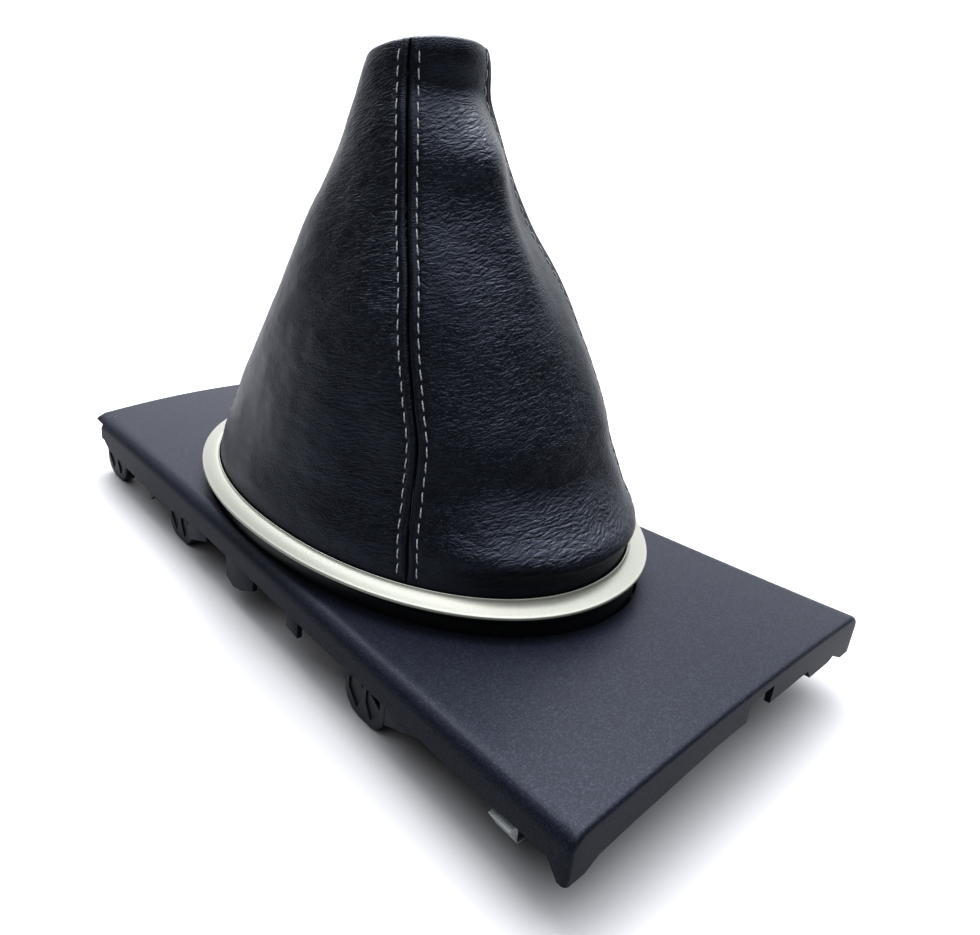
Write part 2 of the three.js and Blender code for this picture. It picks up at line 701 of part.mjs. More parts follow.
// Point of the gaiter at an angle and a height, inset inwards from its outer face.
function gaiterPoint(turn, h, inset = 0) {
  const s = sectionAt(h);
  const grow = belly(turn, h) - inset;
  const p = oval(turn, s.a + grow, s.b + grow);
  const follow = smoothstep(h, 0, RING_SEAT) * (1 - smoothstep(h, RING_TOP, RING_TOP + FOOT_FOLLOW));
  const seat = SEAT_SLOPE * p.y * follow;
  const tilt = smoothstep(h, RIM_HEIGHT - RIM_TILT_HEIGHT, RIM_HEIGHT);
  const rim = RIM_SLOPE * (p.x - OPENING_AT) * tilt;
  const peaked = smoothstep(h, RIM_HEIGHT - RIM_PEAK_HEIGHT, RIM_HEIGHT);
  const peak = RIM_PEAK * Math.cos(turn - degToRad(SEAM_TURN)) * peaked;
  return new THREE.Vector3(p.x + s.x, p.y + s.y, h + seat + rim + peak);
}

// Angle that lies a distance along the leather from a seam, at one height.
function besideSeam(turn, h, distance) {
  const s = sectionAt(h);
  const speed = Math.hypot(s.a * Math.sin(turn), s.b * Math.cos(turn));
  return turn + distance / speed;
}

// Heights of the rows of the leather sheet, from the hem to just under the rim, closer
// together where the leather bellies over the ring.
const ROW_COUNT = 15;
const ROWS = [-HEM_DEPTH];
for (let i = 0; i < ROW_COUNT; i++) {
  const t = i / (ROW_COUNT - 1);
  ROWS.push(lerp(RING_TOP + FIT, RIM_HEIGHT - RIM_ROLL, 0.6 * t + 0.4 * t * t));
}

// Section of the sheet in height and inset: up outside, over the rim, down inside, back up
// to the fold and down the inner face.
function sheetSection() {
  const fold = 2 * LEATHER + RIM_FOLD_GAP;
  const top = RIM_HEIGHT;
  const outside = ROWS.map((h) => [h, 0]);
  const roll = [
    [top - fold / 4, fold / 8], [top, fold / 2], [top - fold / 4, 7 * fold / 8],
    [top - RIM_ROLL, fold], [top - RIM_HEM, fold], [top - RIM_HEM, fold - LEATHER],
    [top - RIM_ROLL, fold - LEATHER], [top - 0.75 * RIM_ROLL, fold / 2],
  ];
  const inside = [...ROWS].reverse().map((h) => [h, LEATHER]);
  return [...outside, ...roll, ...inside];
}

function gaiterPanel(seam, nextSeam) {
  const section = sheetSection();
  const inner = 7;
  const columns = [];
  const gap = SEAM_GAP / 2;
  const addColumn = (angleAt, dip) => {
    columns.push(section.map(([h, inset]) => {
      const sink = dip * smoothstep(h, RING_TOP - 1, RING_TOP + 6);
      return gaiterPoint(angleAt(h), h, inset + sink);
    }));
  };
  addColumn((h) => besideSeam(seam, h, gap), SEAM_DIP);
  for (let i = 0; i <= inner; i++) {
    addColumn((h) => lerp(
      besideSeam(seam, h, STITCH_OFFSET),
      besideSeam(nextSeam, h, -STITCH_OFFSET),
      i / inner,
    ), 0);
  }
  addColumn((h) => besideSeam(nextSeam, h, -gap), SEAM_DIP);
  return skin(columns, ladderCap);
}

// Sewing thread of one row: stitches joined where the thread dips into the leather.
function stitchRow(seam, offset) {
  const heights = ROWS.slice(1);
  const path = heights.map((h) => gaiterPoint(besideSeam(seam, h, offset), h));
  const lengths = path.slice(1).map((p, i) => p.distanceTo(path[i]));
  const total = lengths.reduce((sum, v) => sum + v, 0);
  const at = (s) => {
    let i = 0;
    let left = s;
    while (i < lengths.length - 1 && left > lengths[i]) left -= lengths[i++];
    const along = path[i + 1].clone().sub(path[i]).normalize();
    const h = lerp(heights[i], heights[i + 1], left / lengths[i]);
    return { point: path[i].clone().addScaledVector(along, left), along, h };
  };
  const ring = (s, width, height) => {
    const { point, along, h } = at(s);
    const turn = besideSeam(seam, h, offset);
    const around = gaiterPoint(turn + 0.01, h).sub(gaiterPoint(turn - 0.01, h));
    const out = around.cross(along).normalize();
    const side = along.clone().cross(out).normalize();
    const base = point.addScaledVector(out, FIT);
    return [
      base.clone().addScaledVector(side, -width / 2),
      base.clone().addScaledVector(side, width / 2),
      base.clone().addScaledVector(out, height),
    ];
  };
  const rings = [];
  const count = Math.floor((total - STITCH_START) / STITCH_PITCH);
  for (let i = 0; i < count; i++) {
    const start = STITCH_START + i * STITCH_PITCH;
    rings.push(ring(start, THREAD_WIDTH, THREAD_HEIGHT));
    rings.push(ring(start + STITCH_LENGTH, THREAD_WIDTH, THREAD_HEIGHT));
    const dip = start + (STITCH_LENGTH + STITCH_PITCH) / 2;
    if (i < count - 1) rings.push(ring(dip, THREAD_WIDTH / 3, THREAD_HEIGHT / 3));
  }
  return skin(rings, flatCap);
}

// Assembly

addPiece('console_panel', consolePanel(), 'paint');

const SIDES = [['left', -1], ['right', 1]];
for (const [sideName, side] of SIDES) {
  CLIP_POSITIONS.forEach((x, i) => {
    const clip = addPiece(`panel_clip_${sideName}_${i + 1}`, panelClip(), 'clip');
    clip.position.set(x, side * (halfWidth(x) - CLIP_INSET), 0);
    clip.rotation.z = side * Math.atan(SIDE_SLOPE);
  });
  const spring = addPiece(`spring_clip_${sideName}`, springClip(), 'zinc');
  spring.position.set(SPRING_CLIP_AT, side * (halfWidth(SPRING_CLIP_AT) - CLIP_INSET), 0);
  spring.rotation.z = side * Math.atan(SIDE_SLOPE);
}

addPiece('trim_ring', trimRing(), 'satin');
addPiece('gaiter_carrier', gaiterCarrier(), 'black');
addPiece('hem_clamp', hemClamp(), 'black');
endTurns(SCREW_ANGLE).forEach((turn, i) => {
  const screw = addPiece(`clamp_screw_${i + 1}`, clampScrew(), 'zinc');
  const p = screwPlace(turn);
  screw.position.set(p.x, p.y, FLANGE_BOTTOM - FIT);
});

const PANEL_NAMES = ['front', 'right', 'back', 'left'];
PANEL_NAMES.forEach((name, i) => {
  const seam = degToRad(SEAM_TURN + 90 * i);
  const nextSeam = seam + Math.PI / 2;
  const before = PANEL_NAMES[(i + 3) % 4];
  const after = PANEL_NAMES[(i + 1) % 4];
  addPiece(`gaiter_${name}`, gaiterPanel(seam, nextSeam), 'leather');
  addPiece(`stitch_row_${name}_${before}`, stitchRow(seam, STITCH_OFFSET), 'thread');
  addPiece(`stitch_row_${name}_${after}`, stitchRow(nextSeam, -STITCH_OFFSET), 'thread');
});

assembly.position.z = CLIP_DROP;
assembly.updateMatrixWorld(true);

export default assembly;
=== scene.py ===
# %% [markdown]
# # A leather gear lever gaiter on its console panel
# The real part is a sewn leather cone. Its hem is held in a black carrier under a satin
# ring, and both snap into a long painted panel that covers the console. The engineering
# model gives every piece its place. This lesson dresses it: the hard pieces are extruded
# ring by ring, and the leather is shaped in code, because it follows one smooth formula.
# %% Load the engineering model
import math
import bmesh
import bpy
from mathutils import Matrix, Vector, noise


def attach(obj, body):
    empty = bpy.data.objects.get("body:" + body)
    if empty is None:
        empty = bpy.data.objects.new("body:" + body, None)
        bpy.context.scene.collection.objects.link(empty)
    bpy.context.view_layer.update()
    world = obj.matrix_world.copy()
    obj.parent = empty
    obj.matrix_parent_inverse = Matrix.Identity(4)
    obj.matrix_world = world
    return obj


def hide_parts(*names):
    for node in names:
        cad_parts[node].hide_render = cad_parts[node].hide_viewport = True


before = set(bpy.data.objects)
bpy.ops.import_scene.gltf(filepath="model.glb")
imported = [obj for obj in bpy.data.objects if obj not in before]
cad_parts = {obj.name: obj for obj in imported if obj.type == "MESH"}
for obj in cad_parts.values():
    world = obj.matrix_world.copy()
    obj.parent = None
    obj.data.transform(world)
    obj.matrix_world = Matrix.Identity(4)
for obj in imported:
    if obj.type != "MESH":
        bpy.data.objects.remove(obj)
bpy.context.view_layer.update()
print("nodes in the frame:", len(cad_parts))

# %% [markdown]
# ## The camera
# The place, tilt and lens were fitted to the photograph: the oval ring, the panel's
# corners and the seams fix them. The photograph leans a little, so the camera rolls too.
# %% Set the camera
IMAGE_WIDTH = 980
FOCAL_PIXELS = 900.7
CAMERA_PLACE = Vector((0.2188, -0.2024, 0.1783))
CAMERA_TARGET = Vector((0.05523, -0.01818, 0.0690))
CAMERA_ROLL = math.radians(6.96)


def camera_turn(place, target, roll):
    ahead = (target - place).normalized()
    right = ahead.cross(Vector((0, 0, 1))).normalized()
    up = right.cross(ahead)
    leaning_right = math.cos(roll) * right + math.sin(roll) * up
    leaning_up = math.cos(roll) * up - math.sin(roll) * right
    return Matrix((leaning_right, leaning_up, -ahead)).transposed()


camera_data = bpy.data.cameras.new("photo_camera")
camera = bpy.data.objects.new("photo_camera", camera_data)
bpy.context.scene.collection.objects.link(camera)
camera_data.sensor_width = 36
camera_data.lens = FOCAL_PIXELS * camera_data.sensor_width / IMAGE_WIDTH
camera_data.clip_start = 0.01
turn_matrix = camera_turn(CAMERA_PLACE, CAMERA_TARGET, CAMERA_ROLL)
camera.matrix_world = Matrix.Translation(CAMERA_PLACE) @ turn_matrix.to_4x4()
bpy.context.scene.camera = camera
print("lens in millimetres:", round(camera_data.lens, 2))

# %% [markdown]
# ## Small helpers
# Operators act on whatever is selected, and a freshly loaded model is selected all over.
# So everything is deselected before each new piece.
# %% Helpers for objects
# The panel's face lies this many millimetres above the clips' feet.
LEVEL = 29.0


def deselect():
    bpy.ops.object.select_all(action="DESELECT")


def pick(piece):
    deselect()
    piece.select_set(True)
    bpy.context.view_layer.objects.active = piece


def metres(x, y, z):
    """A point given in millimetres from the panel's face, in the frame's metres."""
    return Vector((x, y, z + LEVEL)) / 1000


def smooth_step(value, low, high):
    t = min(max((value - low) / (high - low), 0.0), 1.0)
    return t * t * (3 - 2 * t)


def mix(a, b, share):
    return a + (b - a) * share


def seat_piece(piece, material):
    piece.data.materials.clear()
    piece.data.materials.append(material)
    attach(piece, "root")


# %% Helpers for colours and nodes
def colour(code):
    """Linear colour of an sRGB hex code."""
    values = [int(code[i:i + 2], 16) / 255 for i in (1, 3, 5)]
    return tuple(v / 12.92 if v <= 0.04045 else ((v + 0.055) / 1.055) ** 2.4 for v in values) + (1.0,)


def add(tree, kind, inputs=None, **settings):
    """Add a node, set its settings, and fill or link its inputs."""
    made = tree.nodes.new(kind)
    for key, value in settings.items():
        setattr(made, key, value)
    for key, value in (inputs or {}).items():
        if isinstance(value, bpy.types.NodeSocket):
            tree.links.new(value, made.inputs[key])
        else:
            made.inputs[key].default_value = value
    return made


def new_finish(name, **sockets):
    """A material with one Principled shader, whose constant values sit on its own sockets."""
    print("finish:", name)
    material = bpy.data.materials.new(name)
    material.use_nodes = True
    shader = material.node_tree.nodes["Principled BSDF"]
    for key, value in sockets.items():
        shader.inputs[key.replace("_", " ")].default_value = value
    return material, material.node_tree, shader


def two_tone(tree, shader, share, dark, light):
    """Colours a surface between two shades, by the share that a pattern gives."""
    tone = add(tree, "ShaderNodeMix", {"Factor": share}, data_type="RGBA")
    tone.inputs[6].default_value = colour(dark)
    tone.inputs[7].default_value = colour(light)
    tree.links.new(tone.outputs[2], shader.inputs["Base Color"])


# %% [markdown]
# ## The table and the light
# The part stands on a white table by a big window. The light comes from above and behind,
# and the room on the camera's side is dim: that is why the leather facing the camera is
# nearly black, while every roll that turns upwards catches a soft blue-grey sheen. The
# photograph has hard contrast, so the High Contrast look is set, and a light grey table
# then shows as white. Painted laminate is matt, so it mirrors nothing.
# %% Table top
TABLE_SIZE = 40
TABLE_GAP = 0.0005
CLOUDS_PER_METRE = 6.0
view = bpy.context.scene.view_settings
view.view_transform = "Standard"
view.look = "High Contrast"
view.exposure = 0.13
deselect()
bpy.ops.mesh.primitive_plane_add(size=TABLE_SIZE, location=(0, 0, -TABLE_GAP))
table = bpy.context.object
table.name = "table_top"
bpy.ops.object.transform_apply(location=True, rotation=True, scale=True)
table_finish, tree, shader = new_finish("white_table_laminate", Roughness=0.6)
place = add(tree, "ShaderNodeTexCoord")
cloud = add(tree, "ShaderNodeTexNoise", {
    "Vector": place.outputs["Object"], "Scale": CLOUDS_PER_METRE, "Detail": 3.0,
})
two_tone(tree, shader, cloud.outputs["Fac"], "#9c9c9f", "#a6a6a8")
table.data.materials.append(table_finish)

# %% Room: white at the horizon, brighter behind the part, dim behind the camera
room = bpy.data.worlds.new("day_room")
bpy.context.scene.world = room
room.use_nodes = True
sky = room.node_tree
way = add(sky, "ShaderNodeTexCoord")
height = add(sky, "ShaderNodeSeparateXYZ", {0: way.outputs["Generated"]})
low = add(sky, "ShaderNodeMapRange", {
    "Value": height.outputs["Z"], "From Min": 0.02, "From Max": 0.14, "To Min": 1.0, "To Max": 0.0,
}, interpolation_type="SMOOTHSTEP")


def light_from(direction, start, dim, bright):
    """Strength of the room's light, rising towards one direction."""
    turned = add(sky, "ShaderNodeVectorMath", {
        0: way.outputs["Generated"], 1: direction,
    }, operation="DOT_PRODUCT")
    share = add(sky, "ShaderNodeMapRange", {
        "Value": turned.outputs["Value"], "From Min": start, "From Max": 1.0,
        "To Min": dim, "To Max": bright,
    }, interpolation_type="SMOOTHSTEP")
    return share.outputs["Result"]


BEHIND = (-0.62, 0.45, 0.64)
RIGHT = (0.14, 0.8, 0.58)
ABOVE = (0.12, -0.06, 0.99)
AHEAD = (-0.67, 0.74, 0.0)
window = light_from(BEHIND, 0.22, 0.01, 1.25)
side_window = light_from(RIGHT, 0.75, 0.0, 1.0)
ceiling = light_from(ABOVE, 0.5, 0.0, 2.4)
far_wall = light_from(AHEAD, 0.55, 0.05, 1.5)
wall = add(sky, "ShaderNodeMath", {
    0: low.outputs["Result"], 1: far_wall,
}, operation="MULTIPLY", use_clamp=True)
windows = add(sky, "ShaderNodeMath", {0: window, 1: side_window}, operation="ADD")
lit = add(sky, "ShaderNodeMath", {0: windows.outputs["Value"], 1: ceiling}, operation="ADD")
glow = add(sky, "ShaderNodeMath", {
    0: wall.outputs["Value"], 1: lit.outputs["Value"],
}, operation="MAXIMUM")
sky.links.new(glow.outputs["Value"], sky.nodes["Background"].inputs["Strength"])
sky.nodes["Background"].inputs["Color"].default_value = (0.97, 0.98, 1.0, 1.0)
print("nodes of the room's light:", len(sky.nodes))

# %% Daylight from above
daylight = bpy.data.lights.new("daylight", "SUN")
daylight.energy = 2.7
daylight.angle = math.radians(50)
sun = bpy.data.objects.new("daylight", daylight)
bpy.context.scene.collection.objects.link(sun)
SUN_WAY = Vector((0.42, -0.28, -0.86))
sun.rotation_euler = SUN_WAY.to_track_quat("-Z", "Y").to_euler()
print("height of the sun in degrees:", round(math.degrees(math.asin(-SUN_WAY.normalized().z))))

# %% [markdown]
# ## Finishes of the hard pieces
# Pearl paint is a dark coat with tiny mica flakes under a clear layer: the eye sees a soft
# sheen with a faint sparkle. The real flakes are finer than a pixel, so they are drawn at
# 0.36 mm, just coarse enough to show. Satin silver paint is smooth and even, and looks
# nearly white. Moulded ABS and nylon have a faint grain and slightly uneven gloss.
# %% Pearl paint of the panel
FLAKE = 0.00036
pearl_paint, tree, shader = new_finish(
    "pearl_paint_on_abs", Metallic=0.3, Roughness=0.44, Specular_IOR_Level=0.08,
    Coat_Weight=0.12, Coat_Roughness=0.34,
)
place = add(tree, "ShaderNodeTexCoord")
flakes = add(tree, "ShaderNodeTexVoronoi", {"Vector": place.outputs["Object"], "Scale": 1 / FLAKE})
glint = add(tree, "ShaderNodeMapRange", {
    "Value": flakes.outputs["Color"], "From Min": 0.5, "From Max": 1.0, "To Max": 0.2,
})
two_tone(tree, shader, glint.outputs["Result"], "#1e212a", "#565b6b")
skin = add(tree, "ShaderNodeBump", {
    "Height": flakes.outputs["Color"], "Strength": 0.22, "Distance": FLAKE / 3,
})
tree.links.new(skin.outputs["Normal"], shader.inputs["Normal"])

# %% Satin paint of the ring
SPRAY_GRAIN = 0.0004
satin_paint, tree, shader = new_finish(
    "satin_silver_paint_on_abs", Metallic=0.35, Roughness=0.38,
)
place = add(tree, "ShaderNodeTexCoord")
grain = add(tree, "ShaderNodeTexNoise", {
    "Vector": place.outputs["Object"], "Scale": 1 / SPRAY_GRAIN, "Detail": 3.0,
})
two_tone(tree, shader, grain.outputs["Fac"], "#7a7b75", "#90918a")
skin = add(tree, "ShaderNodeBump", {"Height": grain.outputs["Fac"], "Strength": 0.08, "Distance": 0.0001})
tree.links.new(skin.outputs["Normal"], shader.inputs["Normal"])


# %% Plain moulded plastics and plated steel
# Blotches of about 8 mm, and a mould grain that is drawn coarser than the real one.
BLOTCHES_PER_METRE = 120.0
GRAINS_PER_METRE = 1800.0


def moulded(name, dark, light, rough, metallic=0.0):
    """A moulded or plated surface with a fine grain and slightly uneven tone."""
    material, tree, shader = new_finish(name, Metallic=metallic)
    place = add(tree, "ShaderNodeTexCoord")
    patch = add(tree, "ShaderNodeTexNoise", {
        "Vector": place.outputs["Object"], "Scale": BLOTCHES_PER_METRE, "Detail": 4.0,
    })
    two_tone(tree, shader, patch.outputs["Fac"], dark, light)
    wear = add(tree, "ShaderNodeMapRange", {
        "Value": patch.outputs["Fac"], "To Min": rough - 0.08, "To Max": rough + 0.08,
    })
    tree.links.new(wear.outputs["Result"], shader.inputs["Roughness"])
    grain = add(tree, "ShaderNodeTexNoise", {
        "Vector": place.outputs["Object"], "Scale": GRAINS_PER_METRE, "Detail": 2.0,
    })
    skin = add(tree, "ShaderNodeBump", {
        "Height": grain.outputs["Fac"], "Strength": 0.15, "Distance": 0.0001,
    })
    tree.links.new(skin.outputs["Normal"], shader.inputs["Normal"])
    return material


# Black ABS keeps a soft gloss, nylon is duller, and zinc plating is a pale, dull metal.
black_abs = moulded("black_abs_moulded", "#0e1013", "#1b1e22", 0.4)
clip_nylon = moulded("dark_nylon_moulded", "#1d2024", "#31353a", 0.5)
zinc_steel = moulded("zinc_plated_steel", "#8a8f91", "#b9bdbe", 0.45, 0.4)

# %% [markdown]
# ## Leather and thread
# Black cowhide with a pressed grain. To the eye it is nearly black, with a soft bluish
# sheen, and fine wrinkles that run sideways where the hide is pulled round the cone. Each
# panel carries its own map in real metres, so the grain follows the leather, and an
# attribute that says where the hide is crumpled. The real grain is about 0.4 mm and
# would vanish in the render, so it is drawn at 0.7 mm.
# %% Leather finish
WRINKLE = 0.0015
PEBBLE = 0.0013
GRAIN = 0.0007
BENDS_PER_METRE = 90.0
BEND = 0.004
PATCHES_PER_METRE = 60.0
leather, tree, shader = new_finish(
    "black_grained_cowhide", Specular_IOR_Level=0.46, Specular_Tint=(0.72, 0.8, 1.0, 1.0),
)
cut = add(tree, "ShaderNodeUVMap", uv_map="cut")
crumple = add(tree, "ShaderNodeAttribute", attribute_name="crumple")
drift = add(tree, "ShaderNodeTexNoise", {
    "Vector": cut.outputs["UV"], "Scale": BENDS_PER_METRE, "Detail": 2.0,
})
middle = add(tree, "ShaderNodeVectorMath", {
    0: drift.outputs["Color"], 1: (0.5, 0.5, 0.5),
}, operation="SUBTRACT")
bent = add(tree, "ShaderNodeVectorMath", {
    0: middle.outputs["Vector"], 1: (BEND, BEND, 0.0),
}, operation="MULTIPLY")
warped = add(tree, "ShaderNodeVectorMath", {
    0: cut.outputs["UV"], 1: bent.outputs["Vector"],
}, operation="ADD")


def drawn_out(angle, stretch):
    """The leather's map, drawn out along a line that rises at an angle."""
    made = add(tree, "ShaderNodeMapping", {
        "Vector": warped.outputs["Vector"], "Rotation": (0, 0, math.radians(angle)),
        "Scale": (stretch, 1.0, 1.0),
    }, vector_type="TEXTURE")
    return made.outputs["Vector"]


def creases(angle, stretch, size, width):
    """Long soft swellings between narrow creases, where a stretched noise crosses its middle."""
    waves = add(tree, "ShaderNodeTexNoise", {
        "Vector": drawn_out(angle, stretch), "Scale": 1 / size, "Detail": 2.5,
    })
    off = add(tree, "ShaderNodeMath", {0: waves.outputs["Fac"], 1: 0.5}, operation="SUBTRACT")
    far = add(tree, "ShaderNodeMath", {0: off.outputs["Value"]}, operation="ABSOLUTE")
    puff = add(tree, "ShaderNodeMapRange", {"Value": far.outputs["Value"], "From Max": width})
    return puff.outputs["Result"]


def pebbles(angle, stretch, size):
    cells = add(tree, "ShaderNodeTexVoronoi", {
        "Vector": drawn_out(angle, stretch), "Scale": 1 / size,
    }, feature="DISTANCE_TO_EDGE")
    puff = add(tree, "ShaderNodeMapRange", {
        "Value": cells.outputs["Distance"], "From Max": 0.3,
    }, interpolation_type="SMOOTHSTEP")
    return puff.outputs["Result"]


def pressed(height, strength, depth, below=None):
    """A bump over another bump, in metres of depth."""
    inputs = {"Height": height, "Strength": strength, "Distance": depth}
    if below:
        inputs["Normal"] = below
    return add(tree, "ShaderNodeBump", inputs).outputs["Normal"]


def where_crumpled(height):
    share = add(tree, "ShaderNodeMath", {0: height, 1: crumple.outputs["Fac"]}, operation="MULTIPLY")
    return share.outputs["Value"]


long_creases = creases(14, 4.0, WRINKLE, 0.13)
grain = pressed(pebbles(8, 1.7, GRAIN), 0.4, 0.00012)
crossing = pressed(where_crumpled(creases(42, 2.6, 1.3 * WRINKLE, 0.1)), 0.16, 0.0003, grain)
pebbled = pressed(where_crumpled(pebbles(12, 2.6, PEBBLE)), 0.38, 0.00022, crossing)
wrinkles = pressed(where_crumpled(long_creases), 0.33, 0.00034, pebbled)
tree.links.new(wrinkles, shader.inputs["Normal"])
# The hide's colour is painted darker in the creases and lighter on the swellings between them: painted
# crease shade and painted ridge highlight.
two_tone(tree, shader, long_creases, "#06070b", "#0f1219")
handled = add(tree, "ShaderNodeTexNoise", {
    "Vector": cut.outputs["UV"], "Scale": PATCHES_PER_METRE, "Detail": 2.0,
})
shine = add(tree, "ShaderNodeMapRange", {
    "Value": handled.outputs["Fac"], "To Min": 0.33, "To Max": 0.43,
})
tree.links.new(shine.outputs["Result"], shader.inputs["Roughness"])

# %% Thread finish
# Bonded thread is matt and light grey. Its twist shows as faint slanting bands, painted darker in the
# grooves between the plies and lighter on their crowns: painted shade and painted highlight.
sewing_thread, tree, shader = new_finish("grey_bonded_polyester_thread", Roughness=0.7, Sheen_Weight=0.3)
cut = add(tree, "ShaderNodeUVMap", uv_map="UVMap")
twist = add(tree, "ShaderNodeTexWave", {
    "Vector": cut.outputs["UV"], "Scale": 2.2, "Distortion": 0.4,
}, bands_direction="DIAGONAL")
# Painted shade in the twist's grooves and painted highlight on the plies' crowns.
two_tone(tree, shader, twist.outputs["Fac"], "#66676a", "#a6a7a9")
rope = add(tree, "ShaderNodeBump", {
    "Height": twist.outputs["Fac"], "Strength": 0.4, "Distance": 0.0001,
})
tree.links.new(rope.outputs["Normal"], shader.inputs["Normal"])

# %% [markdown]
# ## Extruding ring by ring
# The ring, the carrier and the panel all run round the same oval. A circle is added, its
# vertices are put on the first outline, and each extrusion makes the next outline. Every
# vertex remembers its station on the circle, and an extruded copy keeps it.
# %% Ring by ring
def place_ring(piece, ring):
    mesh = bmesh.from_edit_mesh(piece.data)
    station = mesh.verts.layers.int["station"]
    for vertex in mesh.verts:
        if vertex.select:
            vertex.co = ring[vertex[station]]
    bmesh.update_edit_mesh(piece.data)


def extrude_rings(name, rings, closed):
    """A skin through rings of points, each as long as the first."""
    deselect()
    bpy.ops.mesh.primitive_circle_add(vertices=len(rings[0]), radius=1.0)
    piece = bpy.context.object
    piece.name = name
    bpy.ops.object.mode_set(mode="EDIT")
    mesh = bmesh.from_edit_mesh(piece.data)
    station = mesh.verts.layers.int.new("station")
    round_order = sorted(mesh.verts, key=lambda v: math.atan2(v.co.y, v.co.x) % (2 * math.pi - 1e-6))
    for i, vertex in enumerate(round_order):
        vertex[station] = i
    place_ring(piece, rings[0])
    for ring in rings[1:] + ([rings[0]] if closed else []):
        bpy.ops.mesh.extrude_region_move()
        place_ring(piece, ring)
    bpy.ops.mesh.select_all(action="SELECT")
    bpy.ops.mesh.remove_doubles(threshold=1e-6)
    bpy.ops.mesh.normals_make_consistent(inside=False)
    bpy.ops.object.mode_set(mode="OBJECT")
    return piece


def smooth_shade(piece, degrees):
    pick(piece)
    bpy.ops.object.shade_smooth_by_angle(angle=math.radians(degrees))


# %% The oval
OVAL_AT = 2.3
OVAL_POWER = 2.1
OVAL_STEPS = 256
OPENING = (91.8, 59.4)
OPENING_FIT = 0.6
RING_REACH = (1.9, 3.95)
BORE_INSET = (5.4, 1.7)
CARRIER = (OPENING[0] - OPENING_FIT, OPENING[1] - OPENING_FIT)
RING = (CARRIER[0] + RING_REACH[0], CARRIER[1] + RING_REACH[1])
BORE = (CARRIER[0] - BORE_INSET[0], CARRIER[1] - BORE_INSET[1])
SEAT_SLOPE = math.tan(math.radians(2.7))


def oval(turn, a, b):
    def bend(v):
        return math.copysign(abs(v) ** (2 / OVAL_POWER), v)
    return OVAL_AT + a * bend(math.cos(turn)), b * bend(math.sin(turn))


def oval_ring(a, b, z):
    """One outline of the oval. Above the panel it follows the slope of the ring's seat."""
    ring = []
    for i in range(OVAL_STEPS):
        x, y = oval(2 * math.pi * i / OVAL_STEPS, a, b)
        ring.append(metres(x, y, z + SEAT_SLOPE * y if z > 0 else z))
    return ring


def between(outer, inner, share):
    return mix(outer[0], inner[0], share), mix(outer[1], inner[1], share)


# %% [markdown]
# ## The satin ring
# A moulded ring, about 2 mm thick, whose face rises inwards like a shallow cone. Both its
# edges are rounded: the outer one is a soft quarter round, the inner one a thin bright bead.
# %% Extrude the ring
RING_SEAT = 8.0
RING_TOP = 11.0
RING_EDGE = 0.35
EDGE_ROUND = 0.5
EDGE_SHARE = 0.06
FACE_SWELL = 0.25
BEAD_SHARE = 0.05
BEAD_ROUND = 0.35


def ring_section():
    """Share of the way inwards and height, from the seat outside to the bore."""
    edge = RING_SEAT + RING_EDGE
    points = [(0.0, RING_SEAT), (0.0, edge)]
    for i in range(1, 5):
        turn = math.radians(90 * i / 4)
        points.append((EDGE_SHARE * (1 - math.cos(turn)), edge + EDGE_ROUND * math.sin(turn)))
    for i in range(1, 9):
        t = i / 9
        swell = FACE_SWELL * math.sin(math.pi * t)
        height = mix(edge + EDGE_ROUND, RING_TOP - 0.1, t) + swell
        points.append((mix(EDGE_SHARE, 1 - 2 * BEAD_SHARE, t), height))
    for i in range(0, 6):
        turn = math.radians(180 - 36 * i)
        across = 1 - BEAD_SHARE + BEAD_SHARE * math.cos(turn)
        points.append((across, RING_TOP - BEAD_ROUND + BEAD_ROUND * math.sin(turn)))
    points.append((1.0, RING_SEAT))
    return points


ring_outlines = [oval_ring(*between(RING, BORE, share), z) for share, z in ring_section()]
trim_ring = extrude_rings("satin_trim_ring", ring_outlines, True)
smooth_shade(trim_ring, 50)
seat_piece(trim_ring, satin_paint)
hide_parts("trim_ring")
print("ring faces:", len(trim_ring.data.polygons))

# %% [markdown]
# ## The black carrier
# The carrier is the wall that shows as a black band between panel and ring. A fine bead
# runs round it just under the ring, and it catches a thin line of light.
# %% Extrude the carrier
CARRIER_DEPTH = 9.0
BEAD = 0.5
BORE_FIT = 0.15
carrier_section = [
    # the oval, how far outside it, and the height
    (CARRIER, 0.0, -CARRIER_DEPTH), (CARRIER, 0.0, 4.6), (CARRIER, 0.35 * BEAD, 4.8),
    (CARRIER, BEAD, 5.3), (CARRIER, BEAD, RING_SEAT),
    (BORE, BORE_FIT, RING_SEAT), (BORE, BORE_FIT, -CARRIER_DEPTH),
]
carrier_rings = [oval_ring(size[0] + out, size[1] + out, z) for size, out, z in carrier_section]
carrier = extrude_rings("carrier_wall", carrier_rings, True)
smooth_shade(carrier, 40)
seat_piece(carrier, black_abs)
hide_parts("gaiter_carrier")
print("carrier faces:", len(carrier.data.polygons))

# %% [markdown]
# ## The console panel
# One injection-moulded shell. Its face is crowned across and rolls down into an upright
# skirt, softly at the long sides and tightly at the ends. The outlines run from the skirt's
# bottom edge, over the face, into the lip of the opening and back under the face. They
# close up, so the wall is part of the loop and needs no Solidify.
# %% Shape of the panel's face
PANEL_HALF = 141.2
END_RADIUS = 1.4
NEAR_WIDTH = 148.9
FAR_WIDTH = 104.8
SIDE_SLOPE = (NEAR_WIDTH - FAR_WIDTH) / (4 * PANEL_HALF)
CROWN = 2.8
NEAR_RISE = 1.4
FAR_DROP = 2.1
ROLL_WIDTH = 5.6
ROLL_DROP = 4.7


def half_width(x):
    return (NEAR_WIDTH + FAR_WIDTH) / 4 + SIDE_SLOPE * min(max(x, -PANEL_HALF), PANEL_HALF)


